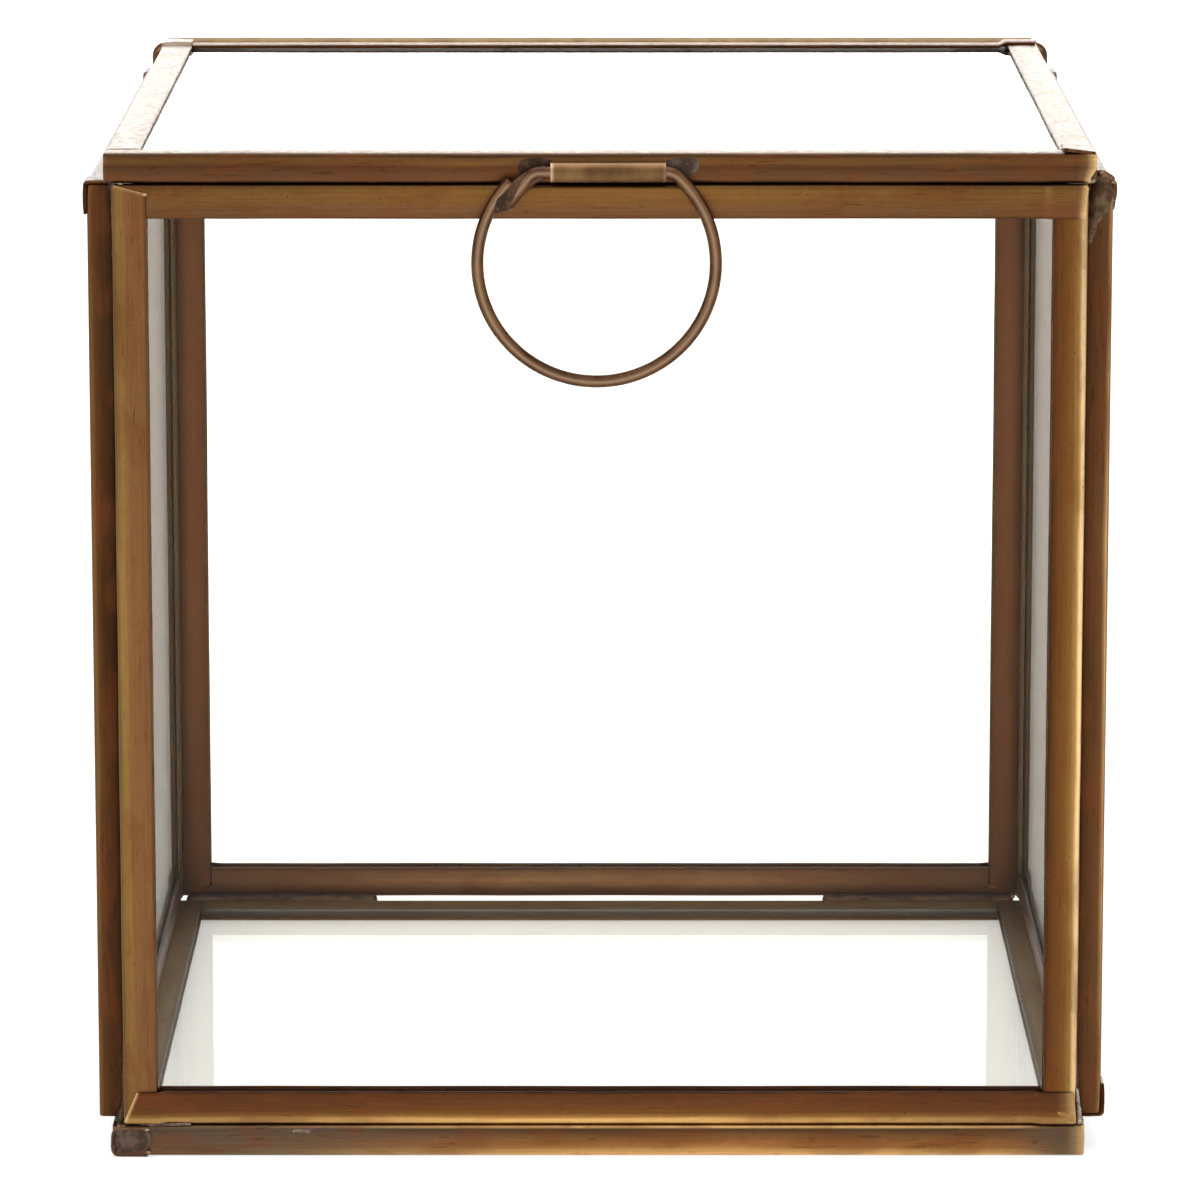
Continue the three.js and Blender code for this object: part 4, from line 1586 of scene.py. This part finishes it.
@dataclass
class CornerSolder:
    """The tacks in the open corners, the bead on the right wall, the small drops painted bright as glints and
    the run behind the base.
    """

    sizes: BoxSizes = field(default_factory=BoxSizes)
    seam_open: float = 31.0
    seam_full: float = 43.0
    seam_end: float = 55.4
    drip_length: float = 0.25
    drip_taper: float = 0.8

    def front_tacks(self) -> list[SolderLump]:
        """Lists the tacks at the front and the bead on the right wall's top edge.

        Returns:
            The lumps.
        """
        s = self.sizes
        x, y = s.wall_width / 2, -s.wall_width / 2 - s.corner_gap
        low, high = s.wall_bottom, s.wall_top
        baked = SoftSolder("baked_soft_solder", "614c38", "463324", "7d6852")
        rubbed = SoftSolder("rubbed_soft_solder", "9a8f80", "5f5246", "d8d0c4")
        bead = DrawnBrass("browned_brass_bead", "7a5c44", "523a2a")
        return [
            SolderLump(
                "solder_front_left_low_lump", 1.0, (-x, y, low),
                ((-0.4, -0.5, -0.2, 0.8), (-0.1, -0.1, 2.0, 0.42), (0.0, 0.0, 9.0, 0.34)),
                "solder_front_left_low", lump=0.2, finish=BROWN_SOLDER,
            ),
            SolderLump(
                "solder_front_left_high_lump", 2.0, (-x, y, high),
                ((0.0, 0.0, -9.0, 0.34), (0.0, 0.0, -2.0, 0.42), (-0.1, -0.1, -0.6, 0.55)),
                "solder_front_left_high", lump=0.2, finish=BROWN_SOLDER,
            ),
            SolderLump(
                "solder_front_right_low_lump", 3.0, (x, y, low),
                ((0.3, -0.3, -0.1, 0.7), (0.1, -0.2, 2.5, 0.45), (0.0, 0.0, 9.0, 0.34)),
                "solder_front_right_low", lump=0.25, finish=BROWN_SOLDER,
            ),
            SolderLump(
                "front_right_scraped_streak", 11.0, (x, s.front_face, low),
                ((0.4, 0.3, 0.3, 0.36), (0.22, 0.2, 2.0, 0.3), (0.1, 0.2, 4.2, 0.18)),
                lump=0.3, lump_size=0.6, grain=0.08, step=0.12, finish=rubbed,
            ),
            SolderLump(
                "solder_front_right_high_lump", 4.0, (x, y, high),
                (
                    (0.4, 0.1, -7.0, 0.35), (0.8, 0.1, -5.0, 0.7), (1.4, 0.0, -3.0, 1.2),
                    (1.7, 0.0, -1.3, 1.45), (1.7, 0.2, -0.3, 1.2),
                ),
                "solder_front_right_high", flatness=(1.0, 0.45, 1.0), lump=0.4, lump_size=1.0, finish=baked,
            ),
            SolderLump(
                "solder_right_top_bead_lump", 5.0, (x, y, high),
                ((1.8, 0.6, 0.55, 0.78), (2.8, 0.8, 0.1, 0.6), (2.0, 3.4, 0.0, 0.45)),
                "solder_right_top_bead", lump=0.3, finish=bead,
            ),
        ]

    def back_tacks(self) -> list[SolderLump]:
        """Lists the tacks at the back, of which the high ones hold the ends of the rod.

        Returns:
            The lumps.
        """
        s = self.sizes
        x, y = s.wall_width / 2, s.wall_width / 2 + s.corner_gap
        # Each drop's height above the walls' lower or upper edge, how far out of the corner, and its radius.
        low = ((0.4, 0.5, 0.5, 0.9), (3.0, 0.6, 0.6, 1.1), (6.2, 0.4, 0.4, 0.75), (9.0, 0.2, 0.2, 0.45))
        high = ((-8.8, 0.6, 0.5, 0.75), (-5.5, 0.9, 0.8, 1.2), (-2.6, 0.9, 0.9, 1.4), (-0.8, 0.7, 0.8, 1.1))
        tacks = []
        for i, (side, way) in enumerate((("left", -1), ("right", 1))):
            for level, edge, drops, seed, lump, finish in (
                ("low", s.wall_bottom, low, 6.0, 0.35, BROWN_SOLDER),
                ("high", s.wall_top, high, 8.0, 0.45, SoftSolder()),
            ):
                node = f"solder_back_{side}_{level}"
                drops = tuple((way * (x + out), back, up, full) for up, out, back, full in drops)
                look = {"lump": lump, "finish": finish}
                tacks.append(SolderLump(f"{node}_lump", seed + i, (0.0, y, edge), drops, node, **look))
        return tacks

    def drips(self) -> list[SolderLump]:
        """Lists the small drops of solder at the laps and in the back corner, whose bright colour paints
        small glints.

        Returns:
            The lumps.
        """
        s = self.sizes
        face = s.front_face
        spots = (
            ("front_left_lap_drip", (-53.1, face - 0.42, s.wall_top - 1.1), 0.2),
            ("front_left_top_drip", (-56.0, face + 0.5, s.wall_top + 0.05), 0.26),
            ("base_left_upper_drip", (-54.2, face - 0.5, s.lap_rise + 3.0), 0.15),
            ("base_left_lower_drip", (-54.1, face - 0.45, s.lap_rise + 0.2), 0.2),
            ("back_right_corner_drip", (56.0, 56.2, s.wall_bottom + 0.1), 0.24),
        )
        # The light solder paints small glints on the drops.
        small = {"lump": 0.08, "grain": 0.06, "step": 0.08, "finish": GLINT_SOLDER}
        drips = []
        for i, (name, spot, full) in enumerate(spots):
            drops = ((0.0, 0.0, 0.0, full), (self.drip_length, 0.0, 0.0, full * self.drip_taper))
            drips.append(SolderLump(name, 40.0 + i, spot, drops, **small))
        return drips

    def smears(self) -> list[SolderLump]:
        """Lists the smears on the base's left corner, along the seams and at the front's lower right, where a
        light lump paints the highlight on a dented corner.

        Returns:
            The lumps.
        """
        s = self.sizes
        face = s.front_face
        base_corner, seam = (-s.base_side / 2, face, s.lap_rise + s.half), (0.0, face, s.wall_bottom)
        bead = DrawnBrass("coppered_brass_bead", "855a36", "5a3a24")
        # Light brass whose colour paints the highlight on the front's dented lower right corner.
        highlight_burr = DrawnBrass("highlight_painted_brass_lump", "a98450", "805e34")
        return [
            SolderLump(
                "base_left_corner_smear", 45.0, base_corner,
                ((1.3, -0.36, -0.1, 1.45), (2.1, -0.36, 0.1, 1.45), (3.0, -0.36, 0.1, 1.3)),
                flatness=(1.0, 0.2, 1.0), lump=0.4, lump_size=1.7, finish=DULLED_SOLDER,
            ),
            SolderLump(
                "base_left_corner_bulge", 46.0, base_corner,
                ((-0.2, 0.3, -0.9, 1.0), (-0.2, 0.3, 0.2, 0.9)),
                flatness=(0.42, 0.8, 1.0), lump=0.25, finish=BROWN_SOLDER,
            ),
            SolderLump(
                "front_right_corner_bead", 47.0, seam,
                ((57.5, 0.6, 0.4, 0.34), (57.5, 0.6, 0.1, 0.34)),
                lump=0.08, step=0.1, finish=bead,
            ),
            SolderLump(
                "front_left_seam_smear", 48.0, seam,
                ((-55.6, 0.1, 0.05, 0.14), (-53.6, 0.06, -0.02, 0.26), (-49.0, 0.1, 0.0, 0.16)),
                lump=0.12, lump_size=1.0, grain=0.07, step=0.1, finish=SMEARED_SOLDER,
            ),
            SolderLump(
                "base_front_scraped_smear", 49.0, (0.0, face, s.lap_rise),
                ((-38.0, -0.02, 2.8, 0.1), (-34.4, -0.02, 2.7, 0.3), (-32.4, -0.02, 2.95, 0.16)),
                flatness=(1.0, 0.4, 1.0), lump=0.22, lump_size=0.7, grain=0.07, step=0.1,
                finish=SMEARED_SOLDER,
            ),
            # A light lump on the dented corner, whose colour paints the highlight there.
            SolderLump(
                "front_right_highlight_lump", 50.0, seam,
                ((54.7, -0.46, 1.6, 0.14), (55.4, -0.46, 1.3, 0.34), (56.4, -0.46, 0.8, 0.34)),
                flatness=(1.0, 0.3, 1.0), lump=0.12, lump_size=0.9, grain=0.07, step=0.1, finish=highlight_burr,
            ),
        ]

    def seams(self) -> list[SolderLump]:
        """Lists the runs along the back of the base, full at both ends and thin in the open middle.

        Returns:
            The lumps.
        """
        s = self.sizes
        middle = (s.front_face + s.base_side + 2 * (s.box_depth / 2 - s.thickness)) / 3
        start = (0.0, middle, s.wall_bottom - s.base_gap)
        places = ((self.seam_end, 0.8), (self.seam_full, 0.85), (self.seam_open, 0.8))
        spread = {"flatness": (1.0, 1.3, 0.8), "lump": 0.2, "lump_size": 2.5, "finish": BROWN_SOLDER}
        runs = []
        for side, way in (("left", -1), ("right", 1)):
            drops = tuple((way * x, 0.0, 0.0, full) for x, full in places)
            runs.append(SolderLump(f"base_back_{side}_run", 20.0 + way, start, drops, **spread))
        return runs

    def build(self, tree: ShapeTree) -> list[bpy.types.Object]:
        """Builds every tack, bead, drip and run with the tree for solder.

        Args:
            tree: The tree for solder.

        Returns:
            The pieces.
        """
        place = self.sizes.at(0, 0, 0)
        lumps = [self.front_tacks(), self.back_tacks(), self.drips(), self.smears(), self.seams()]
        return [lump.build(tree, place) for group in lumps for lump in group]


@dataclass
class FoldedTabs:
    """The two tabs that show at the corners: one folded round the base, one lapped over the lid."""

    sizes: BoxSizes = field(default_factory=BoxSizes)
    sheet: float = 0.38
    film: float = 0.04
    bend: float = 1.0
    base_width: float = 3.6
    base_length: float = 3.8
    base_side_length: float = 6.0
    lid_width: float = 3.7
    lid_length: float = 4.2
    lid_foot: float = 1.6
    foot_film: float = 0.02
    lid_end: float = 0.12
    end_lift: float = 0.05
    lid_tilt: float = 0.13
    lid_inset: float = 0.15
    lid_back: float = 0.1
    uneven: float = 0.12
    uneven_length: float = 1 / 0.42

    def grown(self, strip: ShapeTree, points: list[Vector], width: float, patina: Patina) -> bpy.types.Mesh:
        """Draws a strip of sheet along points given in millimetres.

        Args:
            strip: The tree for strip.
            points: The middle line of the sheet.
            width: The strip's width, which also sets its unevenness apart.
            patina: How it has browned, with the highlights and shade painted on it.

        Returns:
            The mesh.
        """
        lengths = {"Width": width, "Sheet": self.sheet}
        lengths |= {"Uneven": self.uneven, "Uneven Length": self.uneven_length}
        return strip.grow(path_mesh(points), lengths, Seed=width, Material=SheetBrass(patina).material())

    def build(self, strip: ShapeTree) -> list[bpy.types.Object]:
        """Builds both tabs with the tree for strip.

        Args:
            strip: The tree for strip.

        Returns:
            The pieces.
        """
        s = self.sizes
        off = self.film + self.sheet / 2
        side, face = -s.base_side / 2 - off, s.front_face - off
        back, corner = Vector((side, face + self.base_side_length, 0)), Vector((side, face, 0))
        front = Vector((side + self.base_length + off, face, 0))
        points = [back, *bend_points(back, corner, front, self.bend), front]
        base = self.grown(strip, points, self.base_width, Patina.ASHEN)
        base.transform(s.at(0, 0, s.lap_rise + s.half - s.base_drop / 2 - self.film))
        foot = Vector((self.foot_film, self.lid_length + self.lid_foot, 0))
        rise = Vector((off, self.lid_length, 0))
        end = Vector((off + self.end_lift, self.lid_end, 0))
        lid = self.grown(strip, [foot, rise, end], self.lid_width, Patina.WALNUT)
        # The strip is drawn on its edge, laid flat and then tilted down towards the lid's side.
        tilt = Matrix.Identity(4)
        tilt[2][0] = -self.lid_tilt
        flat = Matrix.Rotation(-math.pi / 2, 4, "Y")
        right = (s.lid_side - self.lid_width) / 2 - self.lid_inset
        lid.transform(s.at(right, s.front_face + self.lid_back, s.lid_top) @ tilt @ flat)
        return [
            show("base_left_tab_brass", base, "box"),
            show("lid_right_tab_brass", lid, "lid"),
        ]


@dataclass
class RingPull:
    """The ring of one bent wire, the rolled sleeve that it turns in, and the solder beside them."""

    sizes: BoxSizes = field(default_factory=BoxSizes)
    wire: float = 1.46
    radius: float = 13.9
    play: float = 4.4
    slide: float = -1.36
    bend: float = 0.9
    lap: float = 2.6
    sleeve_length: float = 13.4
    sleeve_shift: float = 0.96
    sleeve_rise: float = 1.29
    wall: float = 0.3
    bore_gap: float = 0.12
    film: float = 0.05
    uneven: float = 0.05
    uneven_length: float = 3.0
    dent_length: float = 1 / 0.26
    # The sleeve's rims are painted bright, the left one more: a painted highlight with a little rubbing.
    rim_wear: tuple[float, float] = (0.8, 0.2)
    arc_steps: int = 96
    sleeve_steps: int = 28

    @property
    def bore(self) -> float:
        """The sleeve's bore."""
        return self.wire + 2 * self.bore_gap

    def axis(self) -> Vector:
        """Where the ring turns, before the shift.

        Returns:
            The place in millimetres.
        """
        s = self.sizes
        outside = self.bore / 2 + self.wall
        return Vector((0, s.front_face - outside - self.film, s.wall_top + s.lid_gap + self.sleeve_rise))

    def ring_points(self) -> list[Vector]:
        """Gives the wire's centre line, as bent: round the ring, through the sleeve and on to the lap.

        Returns:
            The points in millimetres, in the frame of the ring.
        """
        chord_half = (self.sleeve_length + self.play) / 2
        drop = math.sqrt(self.radius**2 - chord_half**2)
        chord_angle = math.atan2(drop, chord_half)

        def on_ring(angle: float, radius: float) -> Vector:
            """Gives the point at an angle and a radius about the ring's middle."""
            return Vector((radius * math.cos(angle), 0, radius * math.sin(angle) - drop))

        first = math.pi - chord_angle + self.wire / self.radius
        sweep = 2 * math.pi + chord_angle - self.bend / self.radius - first
        steps = self.arc_steps
        points = [on_ring(first + sweep * i / steps, self.radius) for i in range(steps + 1)]
        right, left = Vector((chord_half, 0, 0)), Vector((self.wire - chord_half, 0, 0))
        inside = self.radius - self.wire
        points += bend_points(points[-1], right, left, self.bend)[1:]
        points += bend_points(right, left, on_ring(first, inside), self.bend)
        turn = self.lap / self.radius
        return points + [on_ring(first + turn * share, inside) for share in (0.25, 0.5, 0.75, 1.0)]

    def build(self, wire: ShapeTree, rolled: ShapeTree, solder: ShapeTree) -> list[bpy.types.Object]:
        """Builds the ring, the sleeve and the solder.

        Args:
            wire: The tree for wire.
            rolled: The tree for rolled strip.
            solder: The tree for solder.

        Returns:
            The pieces.
        """
        axis = self.sizes.at(*self.axis())
        place = axis @ Matrix.Translation(Vector((self.sleeve_shift + self.slide, 0, 0)) * MM)
        lengths = {"Diameter": self.wire, "Uneven": self.uneven, "Uneven Length": self.uneven_length}
        brass = DrawnBrass("drawn_aged_brass_wire").material()
        ring = wire.grow(path_mesh(self.ring_points()), lengths, Seed=2.0, Facets=20, Material=brass)
        ring.transform(place)
        # The rims are painted bright as a highlight, the left one more.
        rims = [self.rim_wear[0], *[0.0] * (self.sleeve_steps - 1), self.rim_wear[1]]
        lengths = {"Bore": self.bore, "Wall": self.wall}
        lengths |= {"Uneven": self.uneven, "Uneven Length": self.dent_length}
        brass = DrawnBrass("rolled_aged_brass_strip", "7d5f3e", "573e27", rough=0.4).material()
        run = path_mesh(straight(self.sleeve_length / 2, self.sleeve_steps), worn=rims)
        # The seam faces the lid: a path along +X turns its profile by half a turn.
        sleeve = rolled.grow(run, lengths, Seam=math.pi, Seed=5.0, Points=28, Material=brass)
        sleeve.transform(axis @ Matrix.Translation(Vector((self.sleeve_shift, 0, 0)) * MM))
        return [
            show("pull_ring_wire", ring, "pull_ring", "pull_ring"),
            show("pull_sleeve_brass", sleeve, "lid", "pull_sleeve"),
            self.lap_solder().build(solder, place),
            *[pad.build(solder, Matrix.Identity(4)) for pad in self.pads()],
        ]

    def lap_solder(self) -> SolderLump:
        """Gives the lump that joins the wire's end to the ring, in the frame of the ring.

        Returns:
            The lump.
        """
        points = self.ring_points()
        # Five points before the wire's end, the lap's bend is nearly over.
        bend, end = points[-6], points[-1]
        outward = Vector((end.x, 0, end.z + self.radius)).normalized() * (self.wire / 2)
        middle = (bend + end) / 2
        drops = (
            (bend.x + 1.6, 0, bend.z + 0.5, 0.84),
            (bend.x + 0.3, 0, bend.z + 0.05, 0.9),
            (middle.x + outward.x * 0.5, -0.14, middle.z + outward.z * 0.5, 1.02),
            (end.x + outward.x, -0.3, end.z + outward.z - 0.1, 1.08),
            (end.x + outward.x * 1.5 - 0.5, -0.2, end.z + outward.z * 1.5 - 0.9, 0.8),
        )
        spread = {"flatness": (1.0, 0.56, 1.0), "lump": 0.16, "lump_size": 1.6, "finish": BROWN_SOLDER}
        return SolderLump("pull_ring_lap_solder", 31.0, (0.0, 0.0, 0.0), drops, body="pull_ring", **spread)

    def pads(self) -> list[SolderLump]:
        """Lists the smears that hold the sleeve on the lid, each spread over its pad's face.

        Returns:
            The lumps.
        """
        smears = []
        for node, seed, finish in (
            ("pull_solder_left", 33.0, BROWN_SOLDER),
            ("pull_solder_right", 34.0, DULLED_SOLDER),
        ):
            low, high = (Vector(corner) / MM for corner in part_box(node))
            middle, half = (low + high) / 2, (high - low) / 2
            drops = (
                (low.x + 0.6, 0.0, 0.1, half.z * 0.75),
                (middle.x, 0.0, 0.0, half.z * 0.95),
                (high.x - 0.6, 0.0, 0.2, half.z * 0.8),
            )
            start = (0.0, high.y, middle.z)
            spread = {"flatness": (1.0, 0.11, 1.0), "lump": 0.4, "lump_size": 1.8, "finish": finish}
            smears.append(SolderLump(f"{node}_smear", seed, start, drops, node, "lid", **spread))
        return smears


@dataclass
class LidHinge:
    """The rolled tube along the back of the lid, and the rod through it that turns down at both ends."""

    sizes: BoxSizes = field(default_factory=BoxSizes)
    rod: float = 1.4
    bore_gap: float = 0.17
    wall: float = 0.38
    below_top: float = 0.8
    tube_inset: float = 0.65
    tube_steps: int = 60
    leg_side: float = 0.95
    leg_drop: float = 14.0
    bend: float = 1.5
    film: float = 0.05
    uneven: float = 0.03
    uneven_length: float = 4.0
    dent: float = 0.05
    dent_length: float = 1 / 0.26

    def build(self, wire: ShapeTree, rolled: ShapeTree) -> list[bpy.types.Object]:
        """Builds the tube and the rod.

        Args:
            wire: The tree for wire.
            rolled: The tree for rolled strip.

        Returns:
            The pieces.
        """
        s = self.sizes
        bore = self.rod + 2 * self.bore_gap
        y = s.front_face + s.lid_side + bore / 2 + self.wall + self.film
        z = s.lid_top - self.below_top
        lengths = {"Bore": bore, "Wall": self.wall, "Uneven": self.dent, "Uneven Length": self.dent_length}
        brass = DrawnBrass("rolled_brown_brass_strip", "84704e", "665038", rough=0.42).material()
        run = path_mesh(straight(s.lid_side / 2 - self.tube_inset, self.tube_steps))
        tube = rolled.grow(run, lengths, Seam=0.0, Seed=8.0, Points=24, Material=brass)
        tube.transform(s.at(0, y, z))
        leg_x = s.lid_side / 2 + self.leg_side
        leg_y = s.box_depth / 2 - s.thickness + self.rod / 2 + self.film
        points = []
        for way in (-1, 1):
            corner = Vector((way * leg_x, y, z))
            knee = Vector((way * leg_x, leg_y, z - 2 * self.bend))
            foot = Vector((way * leg_x, leg_y, z - self.leg_drop))
            leg = bend_points(Vector((0, y, z)), corner, knee, self.bend)
            leg += [*bend_points(corner, knee, foot, self.bend / 2), foot]
            points += leg if way > 0 else leg[::-1]
        lengths = {"Diameter": self.rod, "Uneven": self.uneven, "Uneven Length": self.uneven_length}
        brass = DrawnBrass("drawn_aged_brass_wire").material()
        rod = wire.grow(path_mesh(points), lengths, Seed=4.0, Facets=16, Material=brass)
        rod.transform(s.at(0, 0, 0))
        return [
            show("hinge_tube_brass", tube, "lid", "hinge_tube"),
            show("hinge_rod_wire", rod, "box", "hinge_rod"),
        ]


# Stage


@dataclass
class Studio:
    """A pale floor, soft lamps and the camera at the photograph's angle. Metres."""

    eye: tuple[float, float, float] = (0.0, -0.8647, 0.2248)
    pitch_deg: float = 11.03
    lens: float = 209.0
    sensor: float = 36.0
    floor_half: float = 4.0
    aim: tuple[float, float, float] = (0.0, 0.0, 0.06)

    def floor(self) -> None:
        """Lays the floor."""
        mesh = bpy.data.meshes.new("floor")
        h = self.floor_half
        mesh.from_pydata([(-h, -h, 0), (h, -h, 0), (h, h, 0), (-h, h, 0)], [], [(0, 1, 2, 3)])
        mesh.materials.append(MattCard().material())
        floor = bpy.data.objects.new("floor", mesh)
        bpy.context.scene.collection.objects.link(floor)

    def world(self) -> None:
        """Fills the room: white to the eye, and a plain soft light for everything else."""
        world = bpy.data.worlds.new("studio")
        bpy.context.scene.world = world
        world.use_nodes = True
        tree = world.node_tree
        tree.nodes.clear()
        strength = add_rows(tree, {"seen": seen(tree, 0.5)}, ("strength", "ADD", "seen", 0.5))["strength"]
        room = add_node(tree, "ShaderNodeBackground", {"Color": (1, 1, 1, 1), "Strength": strength})
        add_node(tree, "ShaderNodeOutputWorld", {"Surface": room})

    def lamps(self) -> None:
        """Hangs the soft lamps: one overhead, one at each side in front, and one low behind the box."""
        # Each lamp's name, place, width and height, and power in watts.
        for name, place, width, height, power in (
            ("overhead", (0.0, 0.1, 1.3), 1.4, 1.4, 8.5),
            ("left_front", (-0.95, -0.75, 0.6), 0.7, 0.9, 3.4),
            ("right_front", (1.0, -0.6, 0.5), 0.5, 0.8, 1.8),
            ("behind", (0.0, 1.7, 0.43), 1.3, 0.5, 8.0),
        ):
            light = bpy.data.lights.new(name, "AREA")
            light.shape = "RECTANGLE"
            light.size, light.size_y = width, height
            light.energy = power
            lamp = bpy.data.objects.new(name, light)
            lamp.location = place
            lamp.rotation_euler = (Vector(self.aim) - Vector(place)).to_track_quat("-Z", "Y").to_euler()
            lamp.visible_camera = False
            lamp.visible_transmission = False
            bpy.context.scene.collection.objects.link(lamp)

    def camera(self) -> None:
        """Stands the camera where the photograph was taken from."""
        data = bpy.data.cameras.new("camera")
        data.lens, data.sensor_width = self.lens, self.sensor
        camera = bpy.data.objects.new("camera", data)
        camera.location = self.eye
        camera.rotation_euler = (math.radians(90 - self.pitch_deg), 0, 0)
        bpy.context.scene.collection.objects.link(camera)
        bpy.context.scene.camera = camera

    def build(self) -> None:
        """Sets the stage."""
        bpy.context.scene.view_settings.view_transform = "Standard"
        self.camera()
        self.floor()
        self.world()
        self.lamps()


def main() -> None:
    """Builds the studio and dresses the box, one sub-assembly after another."""
    logging.basicConfig(level=logging.INFO, format="%(message)s")
    Studio().build()
    wire, rolled, solder = wire_tree(), rolled_tree(), solder_tree()
    BoxFrames().build()
    Panes().dress()
    RingPull().build(wire, rolled, solder)
    LidHinge().build(wire, rolled)
    FoldedTabs().build(strip_tree())
    CornerSolder().build(solder)


if __name__ == "__main__":
    main()
